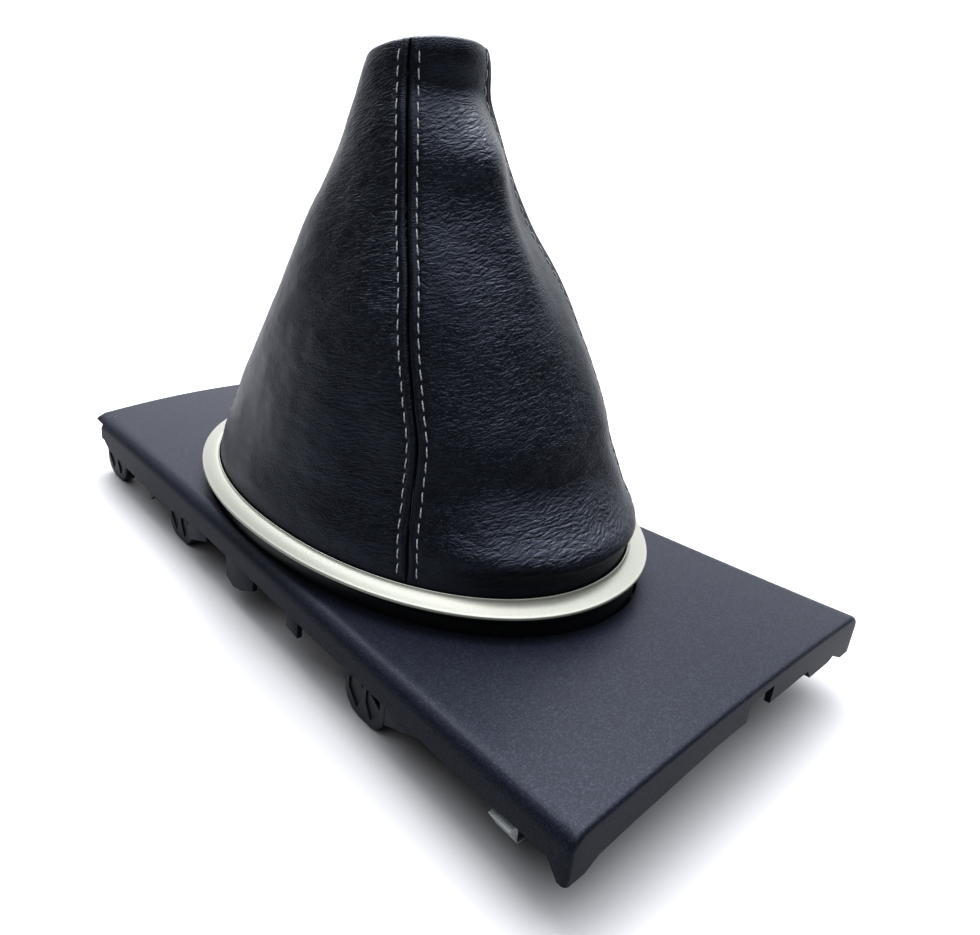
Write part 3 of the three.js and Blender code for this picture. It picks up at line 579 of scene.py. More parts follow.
def face_height(x, y):
    """Height of the panel's outer face, with its rolled sides and rounded ends."""
    run = min(abs(x) / PANEL_HALF, 1.0) ** 3
    rise = NEAR_RISE * run if x > 0 else -FAR_DROP * run
    out = min(max(abs(x) - PANEL_HALF, 0.0), END_RADIUS)
    inset = END_RADIUS - math.sqrt(END_RADIUS**2 - out**2)
    flat = half_width(x) - ROLL_WIDTH
    over = min(max((abs(y) - flat) / (ROLL_WIDTH - inset), 0.0), 1.0)
    crown = CROWN * (min(abs(y), flat) / half_width(x)) ** 2
    return rise - crown - inset - (ROLL_DROP - inset) * (1 - math.sqrt(1 - over * over))


# %% Outline of the panel
CORNER_STEPS = 6
SIDE_STEPS = (70, 36, 70, 50)


def panel_outline():
    """The panel's outline seen from above, anticlockwise from its wide end's right corner."""
    centres = [(1, 1, NEAR_WIDTH), (-1, 1, FAR_WIDTH), (-1, -1, FAR_WIDTH), (1, -1, NEAR_WIDTH)]
    arcs = []
    for i, (along, across, width) in enumerate(centres):
        middle = Vector((along * PANEL_HALF, across * (width / 2 - END_RADIUS)))
        arc = []
        for k in range(CORNER_STEPS + 1):
            turn = math.radians(90 * i + 90 * k / CORNER_STEPS)
            arc.append(middle + END_RADIUS * Vector((math.cos(turn), math.sin(turn))))
        arcs.append(arc)
    points = []
    for i, arc in enumerate(arcs):
        start, end = arc[-1], arcs[(i + 1) % 4][0]
        points += arc
        points += [start.lerp(end, k / SIDE_STEPS[i]) for k in range(1, SIDE_STEPS[i])]
    return points


outline = panel_outline()
print("outline points:", len(outline))

# %% Rings of the panel
EDGE_STEPS = [0.0, 0.06, 0.25, 0.55, 0.95, 1.45, 2.0, 2.6, 3.3, 4.1, 5.0, 5.9]
FACE_STEPS = 16
PANEL_WALL = 2.2
SIDE_WALL = 1.9
LIP_WALL = 1.4
LIP_DEPTH = 6.5
LIP_RADIUS = 0.55
SKIRT_LOW = -18.5


def opening_point(point):
    turn = math.atan2(point.y / OPENING[1], (point.x - OVAL_AT) / OPENING[0])
    return Vector(oval(turn, *OPENING))


def panel_ring(place, drop=0.0):
    """One outline over the face. place gives the way from the outer edge for a gap."""
    ring = []
    for edge in outline:
        way = opening_point(edge) - edge
        spot = edge + way * (place(way.length) / way.length)
        ring.append(metres(spot.x, spot.y, face_height(spot.x, spot.y) - drop))
    return ring


def level_ring(place, z):
    return [Vector((p.x, p.y, (z + LEVEL) / 1000)) for p in panel_ring(place)]


def edge_share(gap):
    return min(1.0, 0.85 * gap / EDGE_STEPS[-1])


def panel_rings():
    rings = [level_ring(lambda gap: 0.0, z) for z in (SKIRT_LOW, -12.0)]
    for step in EDGE_STEPS:
        rings.append(panel_ring(lambda gap: step * edge_share(gap)))
    for i in range(1, FACE_STEPS + 1):
        rings.append(panel_ring(
            lambda gap: mix(EDGE_STEPS[-1] * edge_share(gap), gap - LIP_RADIUS, (i / FACE_STEPS) ** 0.9)
        ))
    for i in range(1, 5):
        turn = math.radians(90 * i / 4)
        reach = LIP_RADIUS * (1 - math.sin(turn))
        rings.append(panel_ring(lambda gap: gap - reach, LIP_RADIUS * (1 - math.cos(turn))))
    rings.append(level_ring(lambda gap: gap, -LIP_DEPTH))
    rings.append(level_ring(lambda gap: gap - LIP_WALL, -LIP_DEPTH))
    for i in range(9):
        rings.append(panel_ring(lambda gap: mix(gap - LIP_WALL, SIDE_WALL, i / 8), PANEL_WALL))
    rings.append(level_ring(lambda gap: SIDE_WALL, SKIRT_LOW))
    return rings


panel = extrude_rings("painted_console_panel", panel_rings(), True)
print("panel faces:", len(panel.data.polygons))


# %% [markdown]
# ## Cutting the skirt
# The skirt's bottom edge steps up and down, and the wide end has a notch and a tab. The
# waste is a plate with that outline, which a Boolean takes away. Teeth, blades and clips
# are bevelled plates as well, hung along a side, so their helpers stand here too.
# %% Plates
def plate(name, outline, thickness, along, middle=0.0):
    """A flat plate: its outline in X and Z along 'y', or in Y and Z along 'x'."""
    deselect()
    bpy.ops.mesh.primitive_circle_add(vertices=len(outline), radius=1.0, fill_type="NGON")
    piece = bpy.context.object
    piece.name = name
    half = thickness / 2
    bpy.ops.object.mode_set(mode="EDIT")
    mesh = bmesh.from_edit_mesh(piece.data)
    corners = sorted(mesh.verts, key=lambda v: math.atan2(v.co.y, v.co.x) % (2 * math.pi - 1e-6))
    for vertex, (p, z) in zip(corners, outline):
        vertex.co = metres(p, middle - half, z) if along == "y" else metres(middle - half, p, z)
    bmesh.update_edit_mesh(piece.data)
    way = (0, thickness / 1000, 0) if along == "y" else (thickness / 1000, 0, 0)
    bpy.ops.mesh.extrude_region_move(TRANSFORM_OT_translate={"value": way})
    bpy.ops.mesh.select_all(action="SELECT")
    bpy.ops.mesh.normals_make_consistent(inside=False)
    bpy.ops.object.mode_set(mode="OBJECT")
    return piece


def soften(piece, width, segments=2, sharpest=40):
    """Bevels all edges that are sharper than an angle in degrees."""
    pick(piece)
    bevel = piece.modifiers.new("soft_edges", "BEVEL")
    bevel.width = width / 1000
    bevel.segments = segments
    bevel.limit_method = "ANGLE"
    bevel.angle_limit = math.radians(sharpest)
    bpy.ops.object.modifier_apply(modifier=bevel.name)


def cut_away(piece, tool):
    pick(piece)
    cut = piece.modifiers.new("cut", "BOOLEAN")
    cut.operation = "DIFFERENCE"
    cut.solver = "EXACT"
    cut.object = tool
    bpy.ops.object.modifier_apply(modifier=cut.name)
    bpy.data.objects.remove(tool)


def hang(piece, x, side, inset):
    """Puts a piece inside the skirt of one long side, turned along it."""
    pick(piece)
    piece.rotation_euler.z = side * math.atan(SIDE_SLOPE)
    piece.location = (x / 1000, side * (half_width(x) - inset) / 1000, 0)
    bpy.ops.object.transform_apply(location=True, rotation=True, scale=True)


# %% Cut the long sides and both ends
SKIRT = -12.5
FAR_SKIRT = -16.5
FOOT = -15.6
NEAR_WALL = -9.0
NOTCH = -2.6
TAB = -12.8
STEP = 2.6
BELOW = -40.0
CORNER_CUT = (40, 60)
CORNER_WALL = -6.5
side_waste = [
    (-150, BELOW), (-150, SKIRT), (-132, SKIRT), (-126, FAR_SKIRT + 1), (-75, FAR_SKIRT),
    (-41, SKIRT), (103.5, SKIRT), (127.5, SKIRT + 1.2), (136, SKIRT + 1.2), (140, FOOT), (140, BELOW),
]
near_waste = [
    (-80, BELOW), (-80, FOOT), (-67.5, FOOT), (-62.5, FOOT + STEP), (-48.5, NEAR_WALL - STEP),
    (-12.5, NEAR_WALL), (3.1, NEAR_WALL), (3.1, NOTCH), (16.5, NOTCH), (16.5, NEAR_WALL),
    (41, NEAR_WALL), (44, TAB), (57, TAB), (60, NEAR_WALL - STEP), (67.5, FOOT), (80, FOOT), (80, BELOW),
]
cut_away(panel, plate("side_waste", side_waste, 200, "y"))
cut_away(panel, plate("near_waste", near_waste, 19, "x", 149.5))
for side in (-1, 1):
    low, high = sorted(side * edge for edge in CORNER_CUT)
    corner_waste = [(low, BELOW), (low, CORNER_WALL), (high, CORNER_WALL), (high, BELOW)]
    cut_away(panel, plate("corner_waste", corner_waste, 12, "x", -140.5))
print("panel faces after cutting:", len(panel.data.polygons))

# %% [markdown]
# ## Teeth and blades under the panel
# Moulded hooks, pegs and the blades for the push-in clips hang from the skirt. Each is a
# small bevelled plate that lies against the wall.
# %% Teeth along the skirt
TOOTH_HIGH = -10.5
TOOTH_LOW = -16.9
TOOTH_THICK = 1.8
TOOTH_INSET = 1.1
BARB = [(0, TOOTH_HIGH), (7, TOOTH_HIGH), (0, TOOTH_LOW)]
PEG = [(-9, TOOTH_HIGH), (-9, -20.4), (-4, -22.4), (2, -20.9), (10, TOOTH_LOW), (10, TOOTH_HIGH)]
BLOCK = [(-3.5, TOOTH_HIGH), (-3.5, -17.4), (3.5, -18.4), (3.5, TOOTH_HIGH)]
GUSSET = [(0, TOOTH_HIGH), (0, -20.9), (15, -14.9), (15, TOOTH_HIGH)]
TEETH = [
    # outline, place along the panel, way up or down
    (BARB, 52, 0), (BARB, -85, -3), (PEG, -12, 0), (BLOCK, 23, 0), (GUSSET, -51, 0), (GUSSET, 73, 2),
]
CLIPS = [-128.0, -65.0, 59.0]
SPRING_AT = 119.5
BLADE_HIGH = -4.0
BLADE_THICK = 2.0
BLADE_INSET = 6.0
RIBS = [(116, 142), (-112, 105)]
RIB_LOW = -9.0
RIB_HIGH = -4.5
RIB_THICK = 1.6


def hang_plate(outline, x, side, thickness, inset):
    tooth = plate("tooth", outline, thickness, "y")
    soften(tooth, 0.3, sharpest=30)
    hang(tooth, x, side, inset)
    return tooth


def blade(half, low):
    """Outline of a blade that a clip slides on."""
    return [(-half, BLADE_HIGH), (-half, low), (half, low), (half, BLADE_HIGH)]


hung = []
for side in (-1, 1):
    for outline, x, slide in TEETH:
        shifted = [(p, z + slide) for p, z in outline]
        hung.append(hang_plate(shifted, x, side, TOOTH_THICK, TOOTH_INSET))
    for x in CLIPS:
        hung.append(hang_plate(blade(7.5, -23.7), x, side, BLADE_THICK, BLADE_INSET))
    hung.append(hang_plate(blade(4, -20.7), SPRING_AT, side, BLADE_THICK, BLADE_INSET))
for x, width in RIBS:
    half = width / 2
    rib = [(-half, RIB_LOW), (-half, RIB_HIGH), (half, RIB_HIGH), (half, RIB_LOW)]
    hung.append(plate("cross_rib", rib, RIB_THICK, "x", x))
deselect()
for piece in hung:
    piece.select_set(True)
panel.select_set(True)
bpy.context.view_layer.objects.active = panel
bpy.ops.object.join()
smooth_shade(panel, 30)
seat_piece(panel, pearl_paint)
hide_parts("console_panel")
print("panel with teeth:", len(panel.data.polygons), "faces")

# %% [markdown]
# ## Push-in clips and spring clips
# Six nylon clips with a round foot sit on the panel's blades. Two windows let their hooks
# give way, and shallow pockets keep the wall even. One clip is cut out of a bevelled
# plate and copied. The light grey spring clip is a strip of steel, folded over its blade.
# %% Model one push-in clip
CLIP_HALF = 10.0
CLIP_LOW = -29.0
CLIP_HIGH = -8.5
FOOT_RADIUS = 7.5
CLIP_THICK = 5.0
CLIP_SLOT = 2.6
CLIP_FLOOR = -24.0
POCKET_DEPTH = 0.6
POCKET_HIGH = -11.0
POCKET_LOW = -21.5
POCKET_TIP = -26.4
POCKETS = [(-7.9, -0.8), (0.8, 7.9)]
WINDOWS = [
    [(-6.5, -14.0), (-1.5, -14.5), (-1.5, -19.0)],
    [(1.5, -17.5), (7.0, -21.0), (7.0, -15.5)],
]


def round_foot(half, low, radius, top):
    """Outline with two rounded lower corners, from the top right corner over the top left one."""
    points = [(half, top), (-half, top)]
    for start, side in ((180, -1), (270, 1)):
        for i in range(9):
            turn = math.radians(start + 90 * i / 8)
            across = side * (half - radius) + radius * math.cos(turn)
            points.append((across, low + radius * (1 + math.sin(turn))))
    return points


def model_clip():
    clip = plate("one_clip", round_foot(CLIP_HALF, CLIP_LOW, FOOT_RADIUS, CLIP_HIGH), CLIP_THICK, "y")
    soften(clip, 0.6, 3)
    wide = CLIP_HALF + 2
    slot = [(-wide, CLIP_FLOOR), (wide, CLIP_FLOOR), (wide, 0), (-wide, 0)]
    cut_away(clip, plate("slot", slot, CLIP_SLOT, "y"))
    for low, high in POCKETS:
        tip = 0.4 * (low + high)
        pocket = [(low, POCKET_HIGH), (low, POCKET_LOW), (tip, POCKET_TIP)]
        pocket += [(high, POCKET_LOW), (high, POCKET_HIGH)]
        for face in (-1, 1):
            cut_away(clip, plate("pocket", pocket, 2 * POCKET_DEPTH, "y", face * CLIP_THICK / 2))
    for window in WINDOWS:
        cut_away(clip, plate("window", window, CLIP_THICK + 2, "y"))
    return clip


def hang_copy(pattern, name, x, side):
    """A copy of a clip on its blade."""
    deselect()
    copy = pattern.copy()
    copy.data = pattern.data.copy()
    bpy.context.scene.collection.objects.link(copy)
    copy.name = name
    hang(copy, x, side, BLADE_INSET)
    smooth_shade(copy, 35)
    return copy


one_clip = model_clip()
SIDE_NAMES = {-1: "left", 1: "right"}
for side, side_name in SIDE_NAMES.items():
    for i, x in enumerate(CLIPS):
        clip = hang_copy(one_clip, f"push_clip_{side_name}_{i + 1}", x, side)
        seat_piece(clip, clip_nylon)
        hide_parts(f"panel_clip_{side_name}_{i + 1}")
print("faces of one clip:", len(one_clip.data.polygons))
bpy.data.objects.remove(one_clip)

# %% Model one spring clip
SPRING_LOW = -21.8
SPRING_TALL = 10.0
SPRING_WIDTH = 8.0
LEAF = 0.8
SPRING_INNER = 1.3
BARB_REACH = 2.6
BARB_START = 1.5
BARB_TIP = 5.7
BARB_END = 6.5


def model_spring():
    """A strip folded over the blade, with a barb pressed out of each leaf."""
    outer, low, top = SPRING_INNER + LEAF, SPRING_LOW, SPRING_LOW + SPRING_TALL
    barb = (outer + BARB_REACH, low + BARB_TIP)
    right = [(outer, low + BARB_START), barb, (outer, low + BARB_END), (outer, top)]
    fold = [(-0.6 * outer, low), (0.6 * outer, low)]
    left = [(-y, z) for y, z in reversed(right)]
    floor = low + LEAF
    inner = [(SPRING_INNER, top), (SPRING_INNER, floor), (-SPRING_INNER, floor), (-SPRING_INNER, top)]
    spring = plate("one_spring", left + fold + right + inner, SPRING_WIDTH, "x")
    soften(spring, 0.18)
    return spring


one_spring = model_spring()
for side, side_name in SIDE_NAMES.items():
    spring = hang_copy(one_spring, f"folded_spring_{side_name}", SPRING_AT, side)
    seat_piece(spring, zinc_steel)
    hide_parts(f"spring_clip_{side_name}")
print("faces of one spring:", len(one_spring.data.polygons))
bpy.data.objects.remove(one_spring)

# %% [markdown]
# ## The leather cone
# Four panels of hide, 1.2 mm thick, sewn edge to edge. The cone goes from the oval hem to
# the round rim through a few measured sections, and leans a little. It is one formula, so
# the sheets are shaped in code, and folds and puckers are added to it as soft waves.
# %% Sections of the cone
LEATHER = 1.2
HEM = (BORE[0] - 0.35, BORE[1] - 0.35)
HEM_LOW = 0.3 - CARRIER_DEPTH
RIM_HEIGHT = 150.4
RIM_RADIUS = 17.8
RIM_LEAN = (-4.1, -3.65)
FOOT_LEAN = (0.0, 1.0)
RIM_SLOPE = 0.23
RIM_PEAK = 1.8
SEAM_TURN = -54
RIM_ROLL = 3.5
RIM_HEM = 10.0
TAPER = [
    # share of the height, shares of the way from rim to hem along and across, share of the lean
    (0.134, 0.885, 0.877, 0.78), (0.276, 0.751, 0.809, 1.0), (0.417, 0.579, 0.701, 0.95),
    (0.558, 0.429, 0.542, 0.68), (0.7, 0.259, 0.315, 0.1), (0.841, 0.101, 0.143, -0.1),
]
SECTIONS = [(HEM_LOW, HEM[0], HEM[1], 0, 0), (RING_TOP, HEM[0], HEM[1], 0, 0)]
for rise, long_share, wide_share, lean in TAPER:
    SECTIONS.append((
        mix(RING_TOP, RIM_HEIGHT, rise), mix(RIM_RADIUS, HEM[0], long_share),
        mix(RIM_RADIUS, HEM[1], wide_share), mix(RIM_LEAN[0], FOOT_LEAN[0], lean),
        mix(RIM_LEAN[1], FOOT_LEAN[1], lean),
    ))
SECTIONS.append((RIM_HEIGHT, RIM_RADIUS, RIM_RADIUS, *RIM_LEAN))


def section_at(h):
    """Half length, half width and lean of the cone at a height, on a smooth curve."""
    last = len(SECTIONS) - 1
    k = 0
    while k < last - 1 and SECTIONS[k + 1][0] <= h:
        k += 1
    p, q = SECTIONS[k], SECTIONS[k + 1]
    span = q[0] - p[0]
    t = (h - p[0]) / span

    def tangent(j, key):
        if j <= 1:
            return 0.0
        before, after = SECTIONS[j - 1], SECTIONS[min(j + 1, last)]
        return (after[key] - before[key]) / (after[0] - before[0])

    def value(key):
        start, end = tangent(k, key) * span, tangent(k + 1, key) * span
        return ((2 * t**3 - 3 * t**2 + 1) * p[key] + (t**3 - 2 * t**2 + t) * start
                + (3 * t**2 - 2 * t**3) * q[key] + (t**3 - t**2) * end)

    return tuple(value(key) for key in (1, 2, 3, 4))


# %% Points of the cone
DRIFTS = [
    # height, and the way that the first seam is pulled sideways there
    (11, -0.6), (21, -0.6), (34, 0.35), (47, 1.0), (60, -0.1),
    (78, -0.7), (97, -0.1), (122, 0.6), (149, -2.1),
]
DRIFT_WIDTH = 16.0
BELLY = 3.5
BELLY_TURN = 25
BELLY_SPREAD = 85
BELLY_HEIGHTS = (RING_TOP, RING_TOP + 13, RING_TOP + 16.9, 48.0)


def angle_from(turn, degrees):
    """Angle from a direction given in degrees, the short way round."""
    off = turn - math.radians(degrees)
    return math.atan2(math.sin(off), math.cos(off))


def radius_at(turn, section):
    """Millimetres of leather for each radian round the cone."""
    return math.hypot(section[0] * math.sin(turn), section[1] * math.cos(turn))


def belly(turn, h):
    """The leather bellies out over the ring at its far right corner."""
    away = abs(angle_from(turn, BELLY_TURN))
    spread = math.cos(min(away / math.radians(BELLY_SPREAD), 1.0) * math.pi / 2)
    low, full, fading, gone = BELLY_HEIGHTS
    return BELLY * spread * smooth_step(h, low, full) * (1 - smooth_step(h, fading, gone))


def seam_drift(turn, h, radius):
    """Sideways way, in millimetres, that the hide is pulled near the first seam."""
    away = angle_from(turn, SEAM_TURN) * radius
    k = 0
    while k < len(DRIFTS) - 2 and DRIFTS[k + 1][0] < h:
        k += 1
    share = smooth_step(h, DRIFTS[k][0], DRIFTS[k + 1][0])
    return mix(DRIFTS[k][1], DRIFTS[k + 1][1], share) * math.exp(-((away / DRIFT_WIDTH) ** 2))


def cone_point(turn, h, inset, section):
    a, b, lean_x, lean_y = section
    radius = radius_at(turn, section)
    turn += seam_drift(turn, h, radius) / radius
    grow = belly(turn, h) - inset
    x, y = oval(turn, a + grow, b + grow)
    follow = smooth_step(h, 0, RING_SEAT) * (1 - smooth_step(h, RING_TOP, RING_TOP + 50))
    tilt = smooth_step(h, RIM_HEIGHT - 60, RIM_HEIGHT)
    peaked = smooth_step(h, RIM_HEIGHT - 40, RIM_HEIGHT)
    peak = RIM_PEAK * math.cos(turn - math.radians(SEAM_TURN)) * peaked
    z = h + SEAT_SLOPE * y * follow + RIM_SLOPE * (x - OVAL_AT) * tilt + peak
    return x + lean_x, y + lean_y, z


def beside_seam(turn, section, distance):
    return turn + distance / radius_at(turn, section)


# %% [markdown]
# ## Folds and puckers
# The hide is turned under at each seam, so it stands up in two soft rolls beside a narrow
# groove, and every stitch pulls it down a little. Larger folds sit where the hide is slack.
# %% Relief of the leather
STITCH_OFFSET = 3.2
STITCH_PITCH = 4.45
STITCH_LENGTH = 3.3
FOLDS = [
    # turn in degrees, height, half length along the cone, half width, lean in degrees, rise
    (1, 110, 24, 6, 0, 1.9), (20, 108, 26, 8, 0, -1.3), (-24, 104, 20, 10, 0, -1.5),
    (-10, 121, 7.5, 15, 0, 3.4), (-10, 137, 6, 18, 0, -2.4), (-8, 21, 4.5, 40, 0, 3.8),
    (-12, 36, 8, 36, 0, -3.2), (-30, 54, 14, 18, 0, -1.6), (5, 74, 12, 18, 25, 0.8),
    (-40, 92, 16, 8, 20, 0.5), (-3, 55, 26, 20, 0, -2.3), (24, 54, 26, 12, 0, 1.2),
    (262, 40, 20, 16, 20, 0.8), (292, 46, 14, 10, -10, -1.4), (250, 85, 18, 12, 10, 0.6),
    (200, 70, 22, 12, 0, 1.2), (225, 110, 18, 9, 10, -0.8), (170, 45, 14, 18, 15, 0.9),
    (140, 90, 22, 10, -10, 1.1), (100, 60, 18, 14, 12, -1.0), (62, 112, 28, 13, 0, -1.4),
    (55, 40, 12, 18, 8, 1.0), (90, 128, 12, 9, 0, 0.8), (300, 133, 10, 8, 0, 0.5),
]
CRUMPLES = [
    # turn in degrees, height, half height, half width, strength of the wrinkles there
    (-14, 95, 34, 17, 0.9), (-12, 127, 9, 12, 1.0), (-25, 60, 16, 22, 0.5),
    (-10, 27, 7, 36, 1.3), (10, 55, 16, 12, 0.5), (292, 85, 40, 16, 0.9),
    (280, 125, 22, 14, 0.8), (295, 32, 10, 12, 0.5), (-12, 143, 6, 22, -0.6),
    (20, 108, 34, 9, -0.9), (240, 35, 22, 30, -0.2), (60, 100, 30, 18, 0.8),
    (100, 50, 20, 24, 0.7), (150, 90, 30, 16, 0.8), (170, 40, 14, 20, 0.9),
    (200, 110, 26, 14, 0.8), (225, 60, 18, 18, 0.6),
]
PLAIN_CRUMPLE = 0.22
LEAST_CRUMPLE = 0.05
MOST_CRUMPLE = 1.3


def crumple_at(turn, h, radius):
    total = PLAIN_CRUMPLE
    for spot_turn, spot_height, tall, wide, strength in CRUMPLES:
        across = angle_from(turn, spot_turn) * radius
        total += strength * math.exp(-(((h - spot_height) / tall) ** 2) - (across / wide) ** 2)
    return min(max(total, LEAST_CRUMPLE), MOST_CRUMPLE)


def folds_at(turn, h, radius):
    total = 0.0
    for fold_turn, fold_height, length, width, lean, rise in FOLDS:
        across = angle_from(turn, fold_turn) * radius
        up = h - fold_height
        c, s = math.cos(math.radians(lean)), math.sin(math.radians(lean))
        along, beside = c * up + s * across, c * across - s * up
        total += rise * math.exp(-((along / length) ** 2) - (beside / width) ** 2)
    return total


def seam_relief(distance, along):
    """Roll, groove and pucker beside a seam, at a distance from it and along it."""
    roll = 0.35 * math.exp(-(((distance - 1.7) / 0.9) ** 2))
    groove = -0.9 * math.exp(-((distance / 0.3) ** 2))
    phase = 0.5 + 0.5 * math.cos(2 * math.pi * along / STITCH_PITCH)
    line = -0.3 * math.exp(-(((distance - STITCH_OFFSET) / 0.75) ** 2)) * (0.5 + 0.5 * phase)
    return roll + groove + line


def slack(point, turn, h, radius):
    """Large soft folds, the same on both panels beside a seam."""
    soft = noise.noise(Vector(point) / 26) * 0.8 + noise.noise(Vector(point) / 11) * 0.3
    return smooth_step(h, RING_TOP + 1, RING_TOP + 8) * (soft + folds_at(turn, h, radius))


def hide_relief(point, turn, h, radius, distance, along):
    """All relief of the outer face in millimetres, out of the leather."""
    free = smooth_step(h, RING_TOP + 1, RING_TOP + 8) * smooth_step(distance, 2, 10)
    small = noise.noise(Vector((point[0] / 5, point[1] / 5, point[2] / 2.4))) * 0.14
    sewn = smooth_step(h, RING_TOP - 1, RING_TOP + 5) * seam_relief(distance, along)
    return slack(point, turn, h, radius) + free * small + sewn


# %% Rows and columns of a panel
SEAM_STEPS = [0.08, 0.4, 0.8, 1.2, 1.7, 2.2, 2.7, 3.2, 3.7, 4.3, 5.2]
INNER_COLUMNS = 84
ROW_STEP = 0.9


def outer_rows():
    rows = [HEM_LOW, -4.0, 2.0, 7.0, 10.0]
    count = round((RIM_HEIGHT - RIM_ROLL - RING_TOP) / ROW_STEP)
    return rows + [mix(RING_TOP + 0.3, RIM_HEIGHT - RIM_ROLL, i / count) for i in range(count + 1)]


def inner_rows():
    """Every fifth row of the outer face, from the top down."""
    rows = outer_rows()
    return [rows[-1 - 5 * i] for i in range((len(rows) - 1) // 5 + 1)] + [HEM_LOW]


def edge_faces(mesh, grid, column):
    """Closes an edge of the sheet by narrow faces between its outer and inner rows."""
    line = [row[column] for row in grid]
    outer, inner = len(outer_rows()), len(inner_rows())
    first_inner = len(line) - inner
    made = [mesh.faces.new(line[outer - 1:first_inner + 1])]
    for i in range(inner - 1):
        top = outer - 1 - 5 * i
        low = max(top - 5, 0)
        made.append(mesh.faces.new(line[low:top + 1] + line[first_inner + i:first_inner + i + 2]))
    return made


def sheet_section():
    """Height, inset and share of relief round the sheet: up outside, over the rim, down."""
    fold = 2 * LEATHER + 0.4
    points = [(h, 0.0, 1.0) for h in outer_rows()]
    for i in range(1, 12):
        turn = math.pi * i / 12
        h = RIM_HEIGHT - fold / 2 + fold / 2 * math.sin(turn)
        points.append((h, fold / 2 * (1 - math.cos(turn)), 1 - 0.4 * i / 12))
    points += [(RIM_HEIGHT - RIM_ROLL, fold, 0.6), (RIM_HEIGHT - RIM_HEM, fold, 0.6)]
    points += [(RIM_HEIGHT - RIM_HEM, fold - LEATHER, 0.7), (RIM_HEIGHT - RIM_ROLL, fold - LEATHER, 0.7)]
    points += [(h, LEATHER, 0.8 if h > RING_TOP else 0.0) for h in inner_rows()]
    return points


def seam_lengths(seam, offset):
    """Heights up a seam with the distance sewn up to each of them."""
    table = []
    length = 0.0
    before = None
    for i in range(281):
        h = mix(RING_TOP, RIM_HEIGHT - 0.2, i / 280)
        section = section_at(h)
        point = Vector(cone_point(beside_seam(seam, section, offset), h, 0, section))
        length += (point - before).length if before else 0.0
        table.append((h, length))
        before = point
    return table


def look_up(table, value, key):
    """Reads a table of two rising columns, with straight lines between its rows."""
    low, high = 0, len(table) - 1
    while high - low > 1:
        middle = (low + high) // 2
        if table[middle][key] <= value:
            low = middle
        else:
            high = middle
    span = table[high][key] - table[low][key]
    share = min(max((value - table[low][key]) / span, 0.0), 1.0)
    return mix(table[low][1 - key], table[high][1 - key], share)


# %% Make a panel of hide
def panel_turns(seam, next_seam, section):
    """Angles of all columns at one height, with the distance of each from its seam."""
    first = [(beside_seam(seam, section, d), d) for d in SEAM_STEPS]
    last = [(beside_seam(next_seam, section, -d), -d) for d in reversed(SEAM_STEPS)]
    start, end = first[-1][0], last[0][0]
    radius = radius_at(start, section)
    middle = []
    for i in range(1, INNER_COLUMNS + 1):
        turn = mix(start, end, i / (INNER_COLUMNS + 1))
        distance = min(turn - start, end - turn) * radius + SEAM_STEPS[-1]
        middle.append((turn, distance))
    return first + middle + last


def path_length(line):
    return sum((b.co - a.co).length for a, b in zip(line, line[1:]))


def flat_size(grid):
    """Width and length of the cut: the widest row, and the way from hem to turned-in edge."""
    rows = len(grid) - len(inner_rows()) - 2
    middle = len(grid[0]) // 2
    width = max(path_length(row) for row in grid[:len(outer_rows())])
    return round(width, 3), round(path_length([row[middle] for row in grid[:rows]]), 3)


def hide_points(mesh, seam, next_seam):
    """Rows of vertices round the sheet, and their places on the flat cut."""
    lengths = {1: seam_lengths(seam, STITCH_OFFSET), -1: seam_lengths(next_seam, -STITCH_OFFSET)}
    crumple = mesh.verts.layers.float.new("crumple")
    grid, maps = [], []
    for h, inset, share in sheet_section():
        section = section_at(min(h, RIM_HEIGHT))
        row, row_maps = [], []
        low = min(h, RIM_HEIGHT - RIM_ROLL)
        for turn, distance in panel_turns(seam, next_seam, section):
            side = 1 if distance >= 0 else -1
            base = cone_point(turn, low, 0, section)
            radius = radius_at(turn, section)
            along = look_up(lengths[side], low, 0) if h > RING_TOP else 0.0
            relief = hide_relief(base, turn, low, radius, abs(distance), along) * share
            vertex = mesh.verts.new(metres(*cone_point(turn, h, inset - relief, section)))
            vertex[crumple] = crumple_at(turn, low, radius) * smooth_step(abs(distance), 1.5, 5)
            row.append(vertex)
            row_maps.append(((turn - seam) * radius / 1000, (h if inset < 1 else -h) / 1000))
        grid.append(row)
        maps.append(row_maps)
    return grid, maps


def hide_faces(mesh, grid, maps):
    """Closes the rows to a sheet with an outer and an inner skin, and keeps the cut as its map."""
    cut = mesh.loops.layers.uv.new("cut")
    count = len(grid)
    for i in range(count):
        k = (i + 1) % count
        for j in range(len(grid[0]) - 1):
            face = mesh.faces.new((grid[i][j], grid[i][j + 1], grid[k][j + 1], grid[k][j]))
            face.smooth = True
            spots = (maps[i][j], maps[i][j + 1], maps[k][j + 1], maps[k][j])
            for loop, spot in zip(face.loops, spots):
                loop[cut].uv = spot
    edges = edge_faces(mesh, grid, 0) + edge_faces(mesh, grid, -1)
    bmesh.ops.triangulate(mesh, faces=edges, ngon_method="EAR_CLIP")
    bmesh.ops.recalc_face_normals(mesh, faces=mesh.faces)


def make_hide(name, seam, next_seam):
    mesh = bmesh.new()
    grid, maps = hide_points(mesh, seam, next_seam)
    hide_faces(mesh, grid, maps)
    size = flat_size(grid)
    data = bpy.data.meshes.new(name)
    mesh.to_mesh(data)
    mesh.free()
    piece = bpy.data.objects.new(name, data)
    bpy.context.scene.collection.objects.link(piece)
    return piece, size


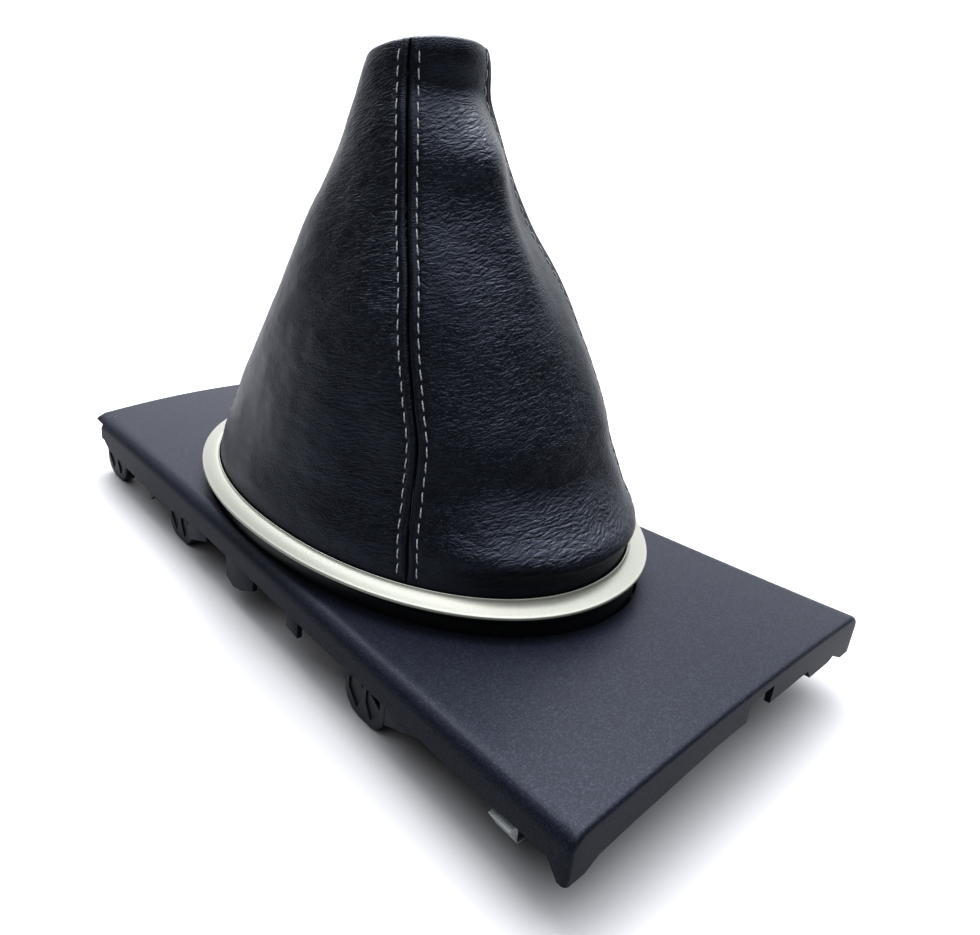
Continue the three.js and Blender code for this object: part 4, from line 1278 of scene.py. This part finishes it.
# %% Sew the four panels
SIDES = ["front", "right", "back", "left"]
cuts = {}
for i, side_name in enumerate(SIDES):
    seam = math.radians(SEAM_TURN + 90 * i)
    hide_piece, cuts[side_name] = make_hide("hide_" + side_name, seam, seam + math.pi / 2)
    seat_piece(hide_piece, leather)
    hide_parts("gaiter_" + side_name)

# %% [markdown]
# ## Stitches
# A lockstitch shows as short lengths of thread that dive into the hide at both ends. One
# stitch is modelled, then copied along both sides of every seam.
# %% Model one stitch
THREAD = 0.48
THREAD_DEPTH = 0.42
DIVE = 0.3
ABOVE_HIDE = 0.14
SEW_LEAN = 4
FIRST_STITCH = 2.0


def model_stitch():
    deselect()
    bpy.ops.mesh.primitive_uv_sphere_add(
        segments=10, ring_count=8, radius=1.0, rotation=(0, math.pi / 2, 0),
    )
    piece = bpy.context.object
    piece.name = "one_stitch"
    bpy.ops.object.transform_apply(location=True, rotation=True, scale=True)
    for vertex in piece.data.vertices:
        x, y, z = vertex.co
        full = (1 - abs(x) ** 4) ** 0.25 if abs(x) < 1 else 0.0
        ring = math.hypot(y, z)
        swell = full / ring if ring > 1e-6 else 0.0
        vertex.co = (
            x * STITCH_LENGTH / 2000,
            y * swell * THREAD / 2000,
            (z * swell * THREAD * THREAD_DEPTH - DIVE * abs(x) ** 3) / 1000,
        )
    for face in piece.data.polygons:
        face.use_smooth = True
    return piece


def thread_spot(table, sewn, seam, offset):
    """Point of the thread line on the hide, with its angle and height."""
    h = look_up(table, sewn, 1)
    section = section_at(h)
    turn = beside_seam(seam, section, offset)
    radius = radius_at(turn, section)
    relief = slack(cone_point(turn, h, 0, section), turn, h, radius)
    around = Vector(cone_point(turn + 0.01, h, 0, section)) - Vector(cone_point(turn - 0.01, h, 0, section))
    return Vector(cone_point(turn, h, 0.12 - relief, section)), around


def sew_row(name, seam, offset, stitch):
    """Copies the stitch up one side of a seam and joins the copies into one thread row."""
    table = seam_lengths(seam, offset)
    lean = math.radians(SEW_LEAN if offset > 0 else -SEW_LEAN)
    copies = []
    sewn = FIRST_STITCH
    while sewn + STITCH_LENGTH < table[-1][1]:
        middle = sewn + STITCH_LENGTH / 2
        spot, around = thread_spot(table, middle, seam, offset)
        start = thread_spot(table, middle - 0.6, seam, offset)[0]
        end = thread_spot(table, middle + 0.6, seam, offset)[0]
        ahead = (end - start).normalized()
        out = around.cross(ahead).normalized()
        turned = Matrix.Rotation(lean, 3, out) @ Matrix((ahead, out.cross(ahead), out)).transposed()
        copy = stitch.copy()
        copy.data = stitch.data.copy()
        bpy.context.scene.collection.objects.link(copy)
        copy.matrix_world = Matrix.Translation(metres(*(spot + ABOVE_HIDE * out))) @ turned.to_4x4()
        copies.append(copy)
        sewn += STITCH_PITCH
    deselect()
    for copy in copies:
        copy.select_set(True)
    bpy.context.view_layer.objects.active = copies[0]
    bpy.ops.object.join()
    bpy.ops.object.transform_apply(location=True, rotation=True, scale=True)
    row = bpy.context.object
    row.name = name
    return row, len(copies)


# %% Sew all seams
one_stitch = model_stitch()
rows_on = {side_name: [] for side_name in SIDES}
for i, side_name in enumerate(SIDES):
    seam = math.radians(SEAM_TURN + 90 * i)
    before, after = SIDES[i - 1], SIDES[(i + 1) % 4]
    for other, line, offset in ((before, seam, STITCH_OFFSET), (after, seam + math.pi / 2, -STITCH_OFFSET)):
        row, count = sew_row(f"thread_{side_name}_{other}", line, offset, one_stitch)
        seat_piece(row, sewing_thread)
        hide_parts(f"stitch_row_{side_name}_{other}")
        rows_on[side_name].append(row)
        print(row.name, "stitches", count)
bpy.data.objects.remove(one_stitch)

# %% [markdown]
# ## Finishes of the pieces that keep their engineering shape
# The screws and the clamp are hidden under the ring, so their plain form is enough.
# %% Give the carried pieces their finish
CARRIED = {"clamp_screw": zinc_steel, "hem_clamp": black_abs}
for name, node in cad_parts.items():
    for start, finish in CARRIED.items():
        if name.startswith(start):
            for slot in node.material_slots:
                slot.material = finish
            print(name, "gets", finish.name)
